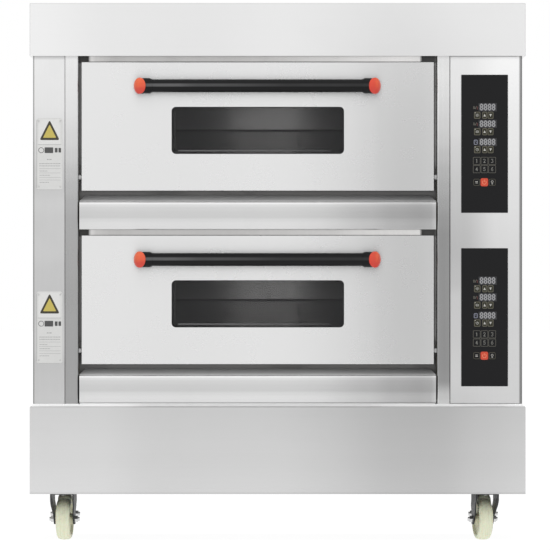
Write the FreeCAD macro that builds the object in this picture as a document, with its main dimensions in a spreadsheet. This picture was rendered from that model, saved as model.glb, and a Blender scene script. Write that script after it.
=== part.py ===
import FreeCAD, Part

import os
import Sketcher
from FreeCAD import Placement, Rotation, Vector

# Two-deck electric deck oven. Millimetres, +Z up, the front faces -Y, the origin
# is on the floor under the middle of the overall box.

doc = FreeCAD.newDocument("DeckOven")
sheet = doc.addObject("Spreadsheet::Sheet", "Dims")

DIMENSIONS = [
    # cabinet
    ("overall_width", 1220.0), ("body_width", 1204.0), ("total_height", 1322.0),
    ("front_reach", 400.0), ("rear_reach", 425.0), ("face_reach", 380.0), ("body_rear", 420.0),
    ("hood_height", 130.0), ("base_bottom", 114.0), ("base_top", 336.0), ("base_edge", 10.0),
    ("sheet_gauge", 1.5), ("corner_radius", 4.0), ("return_flange", 25.0),
    # decks
    ("lower_deck", 339.0), ("deck_pitch", 427.0), ("door_centre", -49.0),
    ("door_width", 868.0), ("door_height", 317.2), ("door_bottom", 94.3), ("door_depth", 30.0),
    ("side_clearance", 7.0), ("pivot_height", 128.0), ("pivot_reach", 365.0), ("pin_diameter", 10.0),
    ("window_width", 424.6), ("window_height", 116.0), ("window_bottom", 185.0), ("window_radius", 11.0),
    ("glass_gauge", 4.0),
    ("fascia_reach", 386.0), ("fascia_top", 67.0), ("fascia_bottom", -1.0), ("lip_radius", 5.0),
    ("sill_top", 84.0), ("sill_rear", 345.0), ("threshold_reach", 322.0),
    ("frame_reach", 343.0),
    # chamber
    ("chamber_width", 830.0), ("chamber_rear", 335.0), ("chamber_floor", 128.0),
    ("opening_bottom", 150.0), ("chamber_ceiling", 356.0), ("hearth_gauge", 4.0),
    ("element_diameter", 8.0), ("element_spacing", 66.0), ("element_bend", 33.0),
    ("top_element_level", 340.0), ("low_element_level", 134.0),
    # handle
    ("handle_level", 352.0), ("handle_reach", 430.9), ("handle_diameter", 32.0),
    ("handle_tube", 517.0), ("bracket_offset", 284.3), ("bracket_diameter", 38.0), ("cap_diameter", 40.0),
    # columns
    ("left_column", 78.5), ("post_width", 33.0), ("post_reach", 384.0),
    ("control_left", 424.2), ("control_right", 598.5), ("panel_left", 452.0), ("panel_width", 115.0),
    ("panel_height", 340.0), ("panel_bottom", 40.0), ("panel_gauge", 2.0),
    # rear
    ("vent_diameter", 50.0), ("vent_reach", 450.345), ("vent_level", 300.0), ("vent_centre", -340.0),
    ("gland_centre", 500.0), ("gland_level", 420.0),
    # casters
    ("caster_left", 529.0), ("caster_right", 512.0), ("caster_front", 325.0), ("caster_rear", 335.0),
    ("caster_left_rear", 537.0), ("caster_right_rear", 521.0), ("caster_mount", 119.0),
    ("caster_trail", 30.0), ("wheel_diameter", 102.0), ("wheel_width", 34.0), ("axle_diameter", 10.0),
    ("yaw_front_left", -6.6), ("yaw_front_right", 12.0), ("yaw_rear_left", -3.0), ("yaw_rear_right", 5.0),
]

VALUES = {}
for row, (alias, number) in enumerate(DIMENSIONS, start=1):
    sheet.set("A%d" % row, alias)
    sheet.set("B%d" % row, repr(number))
    sheet.setAlias("B%d" % row, alias)
    VALUES[alias] = number
doc.recompute()


class Dim:
    """A length with its value and the expression that gives it from the sheet."""

    def __init__(self, value, text):
        self.value = float(value)
        self.text = text

    def __add__(self, other):
        other = dim(other)
        return Dim(self.value + other.value, "(%s + %s)" % (self.text, other.text))

    __radd__ = __add__

    def __sub__(self, other):
        other = dim(other)
        return Dim(self.value - other.value, "(%s - %s)" % (self.text, other.text))

    def __rsub__(self, other):
        return dim(other) - self

    def __mul__(self, factor):
        return Dim(self.value * factor, "(%s * %r)" % (self.text, float(factor)))

    __rmul__ = __mul__

    def __truediv__(self, factor):
        return Dim(self.value / factor, "(%s / %r)" % (self.text, float(factor)))

    def __neg__(self):
        return Dim(-self.value, "(0 - %s)" % self.text)


def dim(item):
    if isinstance(item, Dim):
        return item
    if isinstance(item, str):
        return Dim(VALUES[item], "Dims.%s" % item)
    return Dim(item, "(%r)" % float(item))


D = {alias: dim(alias) for alias in VALUES}
NODES = []


def register(obj, label):
    obj.Label = label
    NODES.append(obj)
    return obj


def new_body(label):
    return register(doc.addObject("PartDesign::Body", "Body_" + label), label)


def plane(body, role):
    for feature in body.Origin.OriginFeatures:
        if feature.Role == role:
            return feature
    raise RuntimeError(role)


def new_sketch(body, role, level=0.0):
    sketch = body.newObject("Sketcher::SketchObject", "Sketch_%s_%d" % (body.Label, len(doc.Objects)))
    sketch.AttachmentSupport = [(plane(body, role), "")]
    sketch.MapMode = "FlatFace"
    level = dim(level)
    # the XZ plane's normal is -Y, so its level is measured towards the rear
    offset = -level if role == "XZ_Plane" else level
    sketch.AttachmentOffset = Placement(Vector(0, 0, offset.value), Rotation())
    sketch.setExpression("AttachmentOffset.Base.z", offset.text)
    return sketch


def fix_point(sketch, index, end, point):
    for axis, item in enumerate(point):
        item = dim(item)
        if item.text.startswith("(0.0") and item.value == 0.0:
            sketch.addConstraint(Sketcher.Constraint("PointOnObject", index, end, -2 if axis == 0 else -1))
            continue
        number = item.value
        kind = "DistanceX" if axis == 0 else "DistanceY"
        slot = sketch.addConstraint(Sketcher.Constraint(kind, -1, 1, index, end, number))
        sketch.setExpression("Constraints[%d]" % slot, item.text)


def add_polygon(sketch, points):
    points = [(dim(a), dim(b)) for a, b in points]
    first = sketch.GeometryCount
    count = len(points)
    for i in range(count):
        a, b = points[i], points[(i + 1) % count]
        sketch.addGeometry(
            Part.LineSegment(Vector(a[0].value, a[1].value, 0), Vector(b[0].value, b[1].value, 0)), False
        )
    for i in range(count):
        sketch.addConstraint(Sketcher.Constraint("Coincident", first + i, 2, first + (i + 1) % count, 1))
    for i in range(count):
        fix_point(sketch, first + i, 1, points[i])


def add_rectangle(sketch, x0, x1, z0, z1):
    add_polygon(sketch, [(x0, z0), (x1, z0), (x1, z1), (x0, z1)])


def add_circle(sketch, x, z, diameter):
    x, z, diameter = dim(x), dim(z), dim(diameter)
    index = sketch.addGeometry(
        Part.Circle(Vector(x.value, z.value, 0), Vector(0, 0, 1), diameter.value / 2), False
    )
    fix_point(sketch, index, 3, (x, z))
    slot = sketch.addConstraint(Sketcher.Constraint("Radius", index, diameter.value / 2))
    sketch.setExpression("Constraints[%d]" % slot, (diameter / 2).text)


def add_rounded(sketch, x0, x1, z0, z1, radius):
    """Rectangle whose corners are quarter arcs of the given radius."""
    x0, x1, z0, z1, radius = dim(x0), dim(x1), dim(z0), dim(z1), dim(radius)
    first = sketch.GeometryCount
    r = radius.value
    a, b, c, d = x0.value, x1.value, z0.value, z1.value
    pi = 3.141592653589793
    lines = [((a + r, c), (b - r, c)), ((b, c + r), (b, d - r)), ((b - r, d), (a + r, d)), ((a, d - r), (a, c + r))]
    arcs = [((b - r, c + r), -pi / 2, 0), ((b - r, d - r), 0, pi / 2), ((a + r, d - r), pi / 2, pi), ((a + r, c + r), pi, 1.5 * pi)]
    for p, q in lines:
        sketch.addGeometry(Part.LineSegment(Vector(p[0], p[1], 0), Vector(q[0], q[1], 0)), False)
    for centre, start, stop in arcs:
        circle = Part.Circle(Vector(centre[0], centre[1], 0), Vector(0, 0, 1), r)
        sketch.addGeometry(Part.ArcOfCircle(circle, start, stop), False)
    for i in range(4):
        sketch.addConstraint(Sketcher.Constraint("Tangent", first + i, 2, first + 4 + i, 1))
        sketch.addConstraint(Sketcher.Constraint("Tangent", first + 4 + i, 2, first + (i + 1) % 4, 1))
    for i in (0, 2):
        sketch.addConstraint(Sketcher.Constraint("Horizontal", first + i))
    for i in (1, 3):
        sketch.addConstraint(Sketcher.Constraint("Vertical", first + i))
    for i in (1, 2, 3):
        sketch.addConstraint(Sketcher.Constraint("Equal", first + 4, first + 4 + i))
    slot = sketch.addConstraint(Sketcher.Constraint("Radius", first + 4, r))
    sketch.setExpression("Constraints[%d]" % slot, radius.text)
    for index, kind, item in ((first, "DistanceY", z0), (first + 2, "DistanceY", z1), (first + 1, "DistanceX", x1), (first + 3, "DistanceX", x0)):
        slot = sketch.addConstraint(Sketcher.Constraint(kind, -1, 1, index, 1, item.value))
        sketch.setExpression("Constraints[%d]" % slot, item.text)


DIRECTION = {"XY_Plane": 1, "XZ_Plane": -1, "YZ_Plane": 1}


def pad(body, role, start, stop, *draw):
    """Adds material between two levels along the plane's world axis."""
    start, stop = dim(start), dim(stop)
    sketch = new_sketch(body, role, start)
    for step in draw:
        step(sketch)
    feature = body.newObject("PartDesign::Pad", "Pad_%s_%d" % (body.Label, len(doc.Objects)))
    feature.Profile = sketch
    length = stop - start
    feature.Length = length.value
    feature.setExpression("Length", length.text)
    # a pad follows the sketch normal, which is -Y on the XZ plane
    feature.Reversed = DIRECTION[role] < 0
    return feature


def pocket(body, role, start, stop, *draw):
    """Cuts between two levels along the plane's world axis, and checks that it cut something."""
    doc.recompute()
    before = body.Shape.Volume
    start, stop = dim(start), dim(stop)
    sketch = new_sketch(body, role, start)
    for step in draw:
        step(sketch)
    feature = body.newObject("PartDesign::Pocket", "Pocket_%s_%d" % (body.Label, len(doc.Objects)))
    feature.Profile = sketch
    length = stop - start
    feature.Length = length.value
    feature.setExpression("Length", length.text)
    # a pocket cuts against the sketch normal unless it is reversed
    feature.Reversed = DIRECTION[role] > 0
    doc.recompute()
    if not body.Shape.Volume < before - 1e-3:
        raise RuntimeError("a pocket of %s cuts nothing" % body.Label)
    return feature


def rect(x0, x1, z0, z1):
    return lambda sketch: add_rectangle(sketch, x0, x1, z0, z1)


def rounded(x0, x1, z0, z1, radius):
    return lambda sketch: add_rounded(sketch, x0, x1, z0, z1, radius)


def circle(x, z, diameter):
    return lambda sketch: add_circle(sketch, x, z, diameter)


def polygon(points):
    return lambda sketch: add_polygon(sketch, points)


def strip_points(points, gauge, side):
    """Closed outline of a bent sheet: the given skin line and its offset to one side."""
    points = [(dim(a), dim(b)) for a, b in points]
    gauge = dim(gauge)
    inner = []
    count = len(points)

    def normal(i):
        ax, ay = points[i][0].value, points[i][1].value
        bx, by = points[i + 1][0].value, points[i + 1][1].value
        length = ((bx - ax) ** 2 + (by - ay) ** 2) ** 0.5
        return (-(by - ay) / length * side, (bx - ax) / length * side)

    for i in range(count):
        if i == 0:
            kx, ky = normal(0)
        elif i == count - 1:
            kx, ky = normal(count - 2)
        else:
            a, b = normal(i - 1), normal(i)
            scale = 1.0 / (1.0 + a[0] * b[0] + a[1] * b[1])
            kx, ky = (a[0] + b[0]) * scale, (a[1] + b[1]) * scale
        kx, ky = round(kx, 6), round(ky, 6)
        inner.append((points[i][0] + gauge * kx, points[i][1] + gauge * ky))
    return points + inner[::-1]


def edges_where(shape, test):
    return ["Edge%d" % (i + 1) for i, edge in enumerate(shape.Edges) if test(edge)]


def along(edge, axis):
    """True for a straight edge parallel to one of the axes 0, 1, 2."""
    if edge.Curve.TypeId != "Part::GeomLine":
        return False
    direction = edge.Curve.Direction
    return abs(abs(direction[axis]) - 1) < 1e-6


def middle(edge):
    return edge.valueAt((edge.FirstParameter + edge.LastParameter) / 2)


def dress(body, kind, size, test):
    doc.recompute()
    base = body.Tip
    names = edges_where(base.Shape, test)
    if not names:
        raise RuntimeError("no edges to dress on %s" % body.Label)
    feature = body.newObject("PartDesign::" + kind, "%s_%s_%d" % (kind, body.Label, len(doc.Objects)))
    feature.Base = (base, names)
    size = dim(size)
    if kind == "Fillet":
        feature.Radius = size.value
        feature.setExpression("Radius", size.text)
    else:
        feature.Size = size.value
        feature.setExpression("Size", size.text)
    doc.recompute()
    return feature


def place(obj, x=0.0, y=0.0, z=0.0, yaw=None):
    x, y, z = dim(x), dim(y), dim(z)
    angle = dim(yaw).value if yaw is not None else 0.0
    obj.Placement = Placement(Vector(x.value, y.value, z.value), Rotation(Vector(0, 0, 1), angle))
    for name, item in (("x", x), ("y", y), ("z", z)):
        obj.setExpression("Placement.Base." + name, item.text)
    if yaw is not None:
        obj.setExpression("Placement.Rotation.Angle", dim(yaw).text)


def near(a, b, tolerance=0.01):
    return abs(a - b) < tolerance


def group_of(label, pieces, z=0.0):
    group = register(doc.addObject("Part::Compound", "group_" + label), label)
    group.Links = pieces
    place(group, z=z)
    return group


def rod_piece(name, diameter, length, point, axis, rotation_flip=False):
    """A cylinder from the given point along +X, +Y or +Z."""
    piece = doc.addObject("Part::Cylinder", name)
    piece.setExpression("Radius", (dim(diameter) / 2).text)
    piece.setExpression("Height", dim(length).text)
    rotation = {"x": Rotation(Vector(0, 1, 0), 90), "y": Rotation(Vector(1, 0, 0), -90), "z": Rotation()}[axis]
    point = [dim(item) for item in point]
    piece.Placement = Placement(Vector(point[0].value, point[1].value, point[2].value), rotation)
    for key, item in zip("xyz", point):
        piece.setExpression("Placement.Base." + key, item.text)
    return piece


def fuse(name, pieces):
    joined = doc.addObject("Part::MultiFuse", name)
    joined.Shapes = pieces
    return joined


def block(name, size, point):
    piece = doc.addObject("Part::Box", name)
    for key, item in zip(("Length", "Width", "Height"), size):
        piece.setExpression(key, dim(item).text)
    point = [dim(item) for item in point]
    piece.Placement = Placement(Vector(point[0].value, point[1].value, point[2].value), Rotation())
    for key, item in zip("xyz", point):
        piece.setExpression("Placement.Base." + key, item.text)
    return piece


# ---------------------------------------------------------------- cabinet shells
half = D["overall_width"] / 2
gauge = D["sheet_gauge"]
front = -D["front_reach"]
rear = D["rear_reach"]
hood_bottom = D["total_height"] - D["hood_height"]
flange = D["return_flange"]

# hood: a box folded from sheet, open below inside a return flange, with air slots at the back
hood = new_body("top_hood")
pad(hood, "XY_Plane", hood_bottom, D["total_height"], rect(-half, half, front, rear))
dress(hood, "Fillet", D["corner_radius"] / 2, lambda e: along(e, 2) or near(middle(e).z, VALUES["total_height"]))
pocket(hood, "XY_Plane", hood_bottom + gauge, D["total_height"] - gauge,
       rect(-half + gauge, half - gauge, front + gauge, rear - gauge))
pocket(hood, "XY_Plane", hood_bottom, hood_bottom + gauge,
       rect(-half + flange, half - flange, front + flange, rear - flange))
for index in range(12):
    slot_x = -440 + index * 80
    pocket(hood, "XZ_Plane", rear - gauge * 2, rear + 1,
           rounded(slot_x, slot_x + 50, hood_bottom + 58, hood_bottom + 66, 3.9))

# plinth: a deep folded box with a broken front edge, open below inside a return flange
plinth = new_body("base_plinth")
edge = D["base_edge"]
pad(plinth, "XY_Plane", D["base_bottom"], D["base_top"], rect(-half, half, front, rear))
dress(plinth, "Chamfer", edge * 0.85,
      lambda e: near(middle(e).z, VALUES["base_top"]) and middle(e).y < VALUES["rear_reach"] - 5)
pocket(plinth, "XY_Plane", D["base_bottom"] + gauge, D["base_top"] - edge - gauge,
       rect(-half + gauge, half - gauge, front + gauge, rear - gauge))
pocket(plinth, "XY_Plane", D["base_top"] - edge - gauge * 2, D["base_top"] - gauge,
       rect(-half + edge + gauge, half - edge - gauge, front + edge + gauge, rear - edge - gauge))
pocket(plinth, "XY_Plane", D["base_bottom"] - 1, D["base_bottom"] + gauge + 1,
       rect(-half + flange, half - flange, front + flange, rear - flange))

# base frame: angle iron, a ring under the casters' plates, four uprights and a ring under the decks
frame = new_body("base_frame")
fx, fy0, fy1 = half - 46, front + 42, rear - 42
leg, web = 40.0, 3.0
frame_low, frame_high = D["caster_mount"] + 4, D["base_top"] - gauge
pad(frame, "XY_Plane", frame_low, frame_low + leg,
    rect(-fx, fx, fy0, fy1), rect(-fx + web, fx - web, fy0 + web, fy1 - web))
pad(frame, "XY_Plane", frame_low, frame_low + web,
    rect(-fx + 1, fx - 1, fy0 + 1, fy1 - 1), rect(-fx + 80, fx - 80, fy0 + 80, fy1 - 80))
pad(frame, "XY_Plane", frame_high - leg, frame_high,
    rect(-fx, fx, fy0, fy1), rect(-fx + web, fx - web, fy0 + web, fy1 - web))
pad(frame, "XY_Plane", frame_high - web, frame_high,
    rect(-fx + 1, fx - 1, fy0 + 1, fy1 - 1), rect(-fx + leg, fx - leg, fy0 + leg, fy1 - leg))
for sx in (-1, 1):
    for ya, yb in ((fy0, 1), (fy1, -1)):
        x_out = fx * sx
        pad(frame, "XY_Plane", frame_low + 1, frame_high - 1,
            polygon([(x_out, ya), (x_out - sx * leg, ya), (x_out - sx * leg, ya + yb * web),
                     (x_out - sx * web, ya + yb * web), (x_out - sx * web, ya + yb * leg), (x_out, ya + yb * leg)]))

# ---------------------------------------------------------------- body panels
body_half = D["body_width"] / 2
face = -D["face_reach"]
back = D["body_rear"]
low = D["base_top"]
high = hood_bottom
deck_zero = {"lower": D["lower_deck"], "upper": D["lower_deck"] + D["deck_pitch"]}
door_left = D["door_centre"] - D["door_width"] / 2
door_right = D["door_centre"] + D["door_width"] / 2
gap = D["side_clearance"]
post_left_in = door_left - gap
post_right_in = door_right + gap
rear_fold = back - gauge - 0.1

# left side panel: one sheet folded round the front into the left column's face
left_panel = new_body("left_side_panel")
column_in = -body_half + D["left_column"]
pad(left_panel, "XY_Plane", low, high, polygon(strip_points(
    [(column_in, face + 34), (column_in, face), (-body_half, face), (-body_half, rear_fold), (-body_half + 22, rear_fold)],
    gauge, -1)))
dress(left_panel, "Fillet", D["corner_radius"] / 2,
      lambda e: along(e, 2) and near(middle(e).y, -VALUES["face_reach"]) and middle(e).x < -590)
dress(left_panel, "Fillet", 1.2, lambda e: along(e, 2) and near(middle(e).y, -VALUES["face_reach"]) and middle(e).x > -590)
for index in range(9):
    slot_z = low + 560 + index * 24
    pocket(left_panel, "YZ_Plane", -body_half - 1, -body_half + gauge + 1,
           rounded(150, 290, slot_z, slot_z + 8, 3.9))

# right side panel: louvred beside the control bay
right_panel = new_body("right_side_panel")
pad(right_panel, "XY_Plane", low, high, polygon(strip_points(
    [(body_half - 14, face + 4), (body_half, face + 4), (body_half, rear_fold), (body_half - 22, rear_fold)],
    gauge, 1)))
dress(right_panel, "Fillet", 1.2, lambda e: along(e, 2) and near(middle(e).y, -VALUES["face_reach"] + 4) and middle(e).x > 600)
for group in (0, 1):
    for index in range(9):
        slot_z = low + 120 + group * 430 + index * 24
        pocket(right_panel, "YZ_Plane", body_half - gauge - 1, body_half + 1,
               rounded(150, 290, slot_z, slot_z + 8, 3.9))

# back panel with the two vent holes and the cable gland hole
back_panel = new_body("back_panel")
pad(back_panel, "XZ_Plane", back - gauge, back, rect(-body_half + 0.5, body_half - 0.5, low + 0.5, high - 0.5),
    circle(D["vent_centre"], deck_zero["lower"] + D["vent_level"], D["vent_diameter"] + 2),
    circle(D["vent_centre"], deck_zero["upper"] + D["vent_level"], D["vent_diameter"] + 2),
    circle(D["gland_centre"], D["gland_level"], 25))
for index in range(8):
    slot_z = low + 560 + index * 24
    pocket(back_panel, "XZ_Plane", back - gauge - 1, back + 1, rounded(440, 560, slot_z, slot_z + 8, 3.9))

# door posts: folded channels that carry the hinge pins
pin = D["pin_diameter"]
pivot_y = -D["pivot_reach"]
for label, outer, inner, side in (
    ("left_door_post", post_left_in - D["post_width"], post_left_in, 1),
    ("right_door_post", post_right_in + D["post_width"] - 1.7, post_right_in, -1),
):
    post = new_body(label)
    pad(post, "XY_Plane", low, high, polygon(strip_points(
        [(outer, face + 30), (outer, -D["post_reach"]), (inner, -D["post_reach"]), (inner, face + 35)], gauge, side)))
    bend_x = inner.value
    fold_x = bend_x - side * VALUES["sheet_gauge"]
    dress(post, "Fillet", 3.5, lambda e: along(e, 2) and near(middle(e).x, fold_x)
          and near(middle(e).y, -VALUES["post_reach"] + VALUES["sheet_gauge"]))
    dress(post, "Fillet", 5.0, lambda e: along(e, 2) and near(middle(e).x, bend_x) and near(middle(e).y, -VALUES["post_reach"]))
    dress(post, "Fillet", 1.2, lambda e: along(e, 2) and abs(middle(e).x - bend_x) > 20 and near(middle(e).y, -VALUES["post_reach"]))
    for deck in ("lower", "upper"):
        pocket(post, "YZ_Plane", inner - 3, inner + 3, circle(pivot_y, deck_zero[deck] + D["pivot_height"], pin))

# control column face: a removable sheet with an opening behind each membrane panel
column = new_body("control_column_panel")
pad(column, "XY_Plane", low + 1, high - 1, polygon(strip_points(
    [(D["control_left"], face + 24), (D["control_left"], face), (D["control_right"], face), (D["control_right"], face + 3)],
    gauge, 1)))
dress(column, "Fillet", D["corner_radius"] / 2, lambda e: along(e, 2) and near(middle(e).y, -VALUES["face_reach"]))
panel_x0 = D["panel_left"]
panel_x1 = D["panel_left"] + D["panel_width"]
for deck in ("lower", "upper"):
    z0 = deck_zero[deck] + D["panel_bottom"]
    pocket(column, "XZ_Plane", face - 1, face + gauge + 1,
           rect(panel_x0 + 12, panel_x1 - 12, z0 + 20, z0 + D["panel_height"] - 20))

# membrane panels, flat on the column face
for deck in ("upper", "lower"):
    overlay = new_body(deck + "_control_panel")
    z0 = D["panel_bottom"]
    pad(overlay, "XZ_Plane", face - D["panel_gauge"], face, rounded(panel_x0, panel_x1, z0, z0 + D["panel_height"], 1.5))
    dress(overlay, "Chamfer", 0.5, lambda e: near(middle(e).y, -VALUES["face_reach"] - VALUES["panel_gauge"]))
    place(overlay, z=deck_zero[deck])

# ---------------------------------------------------------------- decks
cx = D["door_centre"] + 1.0
ch0, ch1 = cx - D["chamber_width"] / 2, cx + D["chamber_width"] / 2
fr0, fr1 = post_left_in + 1.0, post_right_in - 1.0
thr = -D["threshold_reach"]
fra = -D["frame_reach"]
tube = D["element_diameter"]
element_rows = [-250.0 + 145.0 * n for n in range(4)]

for deck in ("upper", "lower"):
    # sill and fascia: one bent sheet below the door
    sill = new_body(deck + "_sill_fascia")
    fascia = -D["fascia_reach"]
    pad(sill, "YZ_Plane", post_left_in + 2, post_right_in - 2, polygon(strip_points(
        [(fascia + 46, D["fascia_bottom"]), (fascia + 3, D["fascia_bottom"]), (fascia, D["fascia_bottom"] + 24),
         (fascia, D["fascia_top"]), (fascia + 5, D["fascia_top"]), (-D["sill_rear"], D["sill_top"]),
         (thr - 1, D["sill_top"])], gauge, -1)))
    dress(sill, "Fillet", D["lip_radius"] * 0.8,
          lambda e: along(e, 0) and near(middle(e).z, VALUES["fascia_top"]) and near(middle(e).y, -VALUES["fascia_reach"]))
    dress(sill, "Fillet", D["lip_radius"] * 0.4,
          lambda e: along(e, 0) and near(middle(e).z, VALUES["fascia_bottom"]) and near(middle(e).y, -VALUES["fascia_reach"] + 3))
    for edge_x, inward in ((post_left_in + 1, 1), (post_right_in - 1, -1)):
        # the ends of the slope are cut back to clear the hinge
        pocket(sill, "XZ_Plane", fascia + 5.5, thr + 2,
               polygon([(edge_x, D["fascia_top"] + 0.6), (edge_x + inward * 18, D["sill_top"] + 2), (edge_x, D["sill_top"] + 2)]))
    place(sill, z=deck_zero[deck])

    # chamber liner: flat sheets welded edge to edge, with the front frame, the threshold and the header strip over the door
    c0, c1 = D["chamber_floor"], D["chamber_ceiling"]
    o0 = D["opening_bottom"]
    duct = thr + gauge
    chamber_end = D["chamber_rear"]
    frame_back = fra + gauge
    frame_top = D["deck_pitch"] - 1.2
    header = face + 8

    def sheet(name, x0, x1, y0, y1, z0, z1):
        return block("%s_%s" % (name, deck), (dim(x1) - x0, dim(y1) - y0, dim(z1) - z0), (x0, y0, z0))

    right_wall = doc.addObject("Part::Cut", "liner_right_wall_" + deck)
    right_wall.Base = sheet("right_sheet", ch1, ch1 + gauge, duct, chamber_end + gauge, c0 - gauge, c1)
    right_wall.Tool = fuse("element_ports_" + deck, [
        rod_piece("port_%s_%s_%d_%d" % (deck, level, y, side + 1), tube + 1, gauge + 2,
                  (ch1 - 1, dim(y) + D["element_bend"] * side, D[level]), "x")
        for y in element_rows for side in (-1, 1) for level in ("top_element_level", "low_element_level")])
    rear_wall = doc.addObject("Part::Cut", "liner_rear_wall_" + deck)
    rear_wall.Base = sheet("rear_sheet", ch0, ch1, chamber_end, chamber_end + gauge, c0, c1)
    rear_wall.Tool = rod_piece("vent_port_" + deck, D["vent_diameter"] - 6, gauge + 2,
                               (D["vent_centre"], chamber_end - 1, D["vent_level"]), "y")
    group_of(deck + "_chamber_liner", [
        sheet("ceiling_sheet", ch0 - gauge, ch1 + gauge, frame_back, chamber_end + gauge, c1, c1 + gauge),
        sheet("floor_sheet", ch0, ch1, duct, chamber_end + gauge, c0 - gauge, c0),
        sheet("left_sheet", ch0 - gauge, ch0, duct, chamber_end + gauge, c0 - gauge, c1),
        right_wall, rear_wall,
        sheet("left_cheek", ch0 - gauge, ch0, frame_back, duct, o0, c1),
        sheet("right_cheek", ch1, ch1 + gauge, frame_back, duct, o0, c1),
        sheet("duct_floor", ch0 - gauge, ch1 + gauge, frame_back, duct, o0 - gauge, o0),
        sheet("threshold", fr0, fr1, thr, duct, D["sill_top"] - 20, o0 - gauge),
        sheet("frame_left", fr0, ch0, fra, frame_back, o0 - gauge, frame_top),
        sheet("frame_right", ch1, fr1, fra, frame_back, o0 - gauge, frame_top),
        sheet("frame_upper", ch0, ch1, fra, frame_back, c1, frame_top),
        sheet("frame_lower", ch0, ch1, fra, frame_back, o0 - gauge, o0),
        sheet("header_shelf", fr0 + 24, fr1 - 36, header + gauge, fra, frame_top - 1.5, frame_top),
        sheet("header_strip", fr0 + 24, fr1 - 36, header, header + gauge, frame_top - 13.3, frame_top),
        sheet("left_ledge", ch0, ch0 + 10, duct, chamber_end, o0 - D["hearth_gauge"] - 3, o0 - D["hearth_gauge"]),
        sheet("right_ledge", ch1 - 10, ch1, duct, chamber_end, o0 - D["hearth_gauge"] - 3, o0 - D["hearth_gauge"]),
    ], deck_zero[deck])

    # hearth plate on the side ledges
    hearth = new_body(deck + "_hearth_plate")
    pad(hearth, "XY_Plane", o0 - D["hearth_gauge"], o0,
        rounded(ch0 + 1, ch1 - 1, thr + gauge + 1, D["chamber_rear"] - 1, 6))
    place(hearth, z=deck_zero[deck])

    # heating elements: four hairpins above and four below the hearth plate
    solids = []
    for level in ("top_element_level", "low_element_level"):
        for n, y in enumerate(element_rows):
            pin_x0, pin_x1 = ch0 + 60, ch1 + 38
            parts = []
            for side in (-1, 1):
                rod = doc.addObject("Part::Cylinder", "rod_%s_%s_%d_%d" % (deck, level, n, side + 1))
                rod.setExpression("Radius", (tube / 2).text)
                rod.setExpression("Height", (pin_x1 - pin_x0).text)
                rod.Placement = Placement(Vector(pin_x0.value, y + side * VALUES["element_bend"], VALUES[level]),
                                          Rotation(Vector(0, 1, 0), 90))
                rod.setExpression("Placement.Base.x", pin_x0.text)
                rod.setExpression("Placement.Base.y", (dim(y) + D["element_bend"] * side).text)
                rod.setExpression("Placement.Base.z", D[level].text)
                parts.append(rod)
            bend = doc.addObject("Part::Torus", "bend_%s_%s_%d" % (deck, level, n))
            bend.setExpression("Radius1", D["element_bend"].text)
            bend.setExpression("Radius2", (tube / 2).text)
            bend.Angle3 = 180
            bend.Placement = Placement(Vector(pin_x0.value, y, VALUES[level]), Rotation(Vector(0, 0, 1), 90))
            bend.setExpression("Placement.Base.x", pin_x0.text)
            bend.setExpression("Placement.Base.z", D[level].text)
            parts.append(bend)
            hairpin = doc.addObject("Part::MultiFuse", "hairpin_%s_%s_%d" % (deck, level, n))
            hairpin.Shapes = parts
            solids.append(hairpin)
    elements = register(doc.addObject("Part::Compound", "elements_" + deck), deck + "_heating_elements")
    elements.Links = solids
    place(elements, z=deck_zero[deck])

# insulation: one wool pack with a pocket for each liner, the wiring channels and the vent holes
wool = new_body("chamber_insulation")
pad(wool, "XY_Plane", deck_zero["lower"] + 56, high - 2, rect(ch0 - 74, ch1 + 42, thr + gauge + 1, back - gauge - 20))
for deck in ("lower", "upper"):
    z = deck_zero[deck]
    pocket(wool, "XZ_Plane", thr, D["chamber_rear"] + gauge + 0.5,
           rect(ch0 - gauge - 1, ch1 + gauge + 1, z + D["chamber_floor"] - gauge - 1, z + D["chamber_ceiling"] + gauge + 1))
    for level in ("top_element_level", "low_element_level"):
        pocket(wool, "XZ_Plane", dim(element_rows[0] - 60), dim(element_rows[3] + 60),
               rect(ch1 - 5, ch1 + 43, z + D[level] - 7, z + D[level] + 7))
    pocket(wool, "XZ_Plane", D["chamber_rear"] - 5, back, circle(D["vent_centre"], z + D["vent_level"], D["vent_diameter"] + 4))

# ---------------------------------------------------------------- doors
w0 = D["door_centre"] + 0.3 - D["window_width"] / 2
w1 = D["door_centre"] + 0.3 + D["window_width"] / 2
wz0 = D["window_bottom"]
wz1 = D["window_bottom"] + D["window_height"]
dz0 = D["door_bottom"]
dz1 = D["door_bottom"] + D["door_height"]
door_back = face + D["door_depth"]
glass = D["glass_gauge"]
out_glass = face + gauge + 0.1
in_glass = door_back - 0.1 - glass

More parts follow.
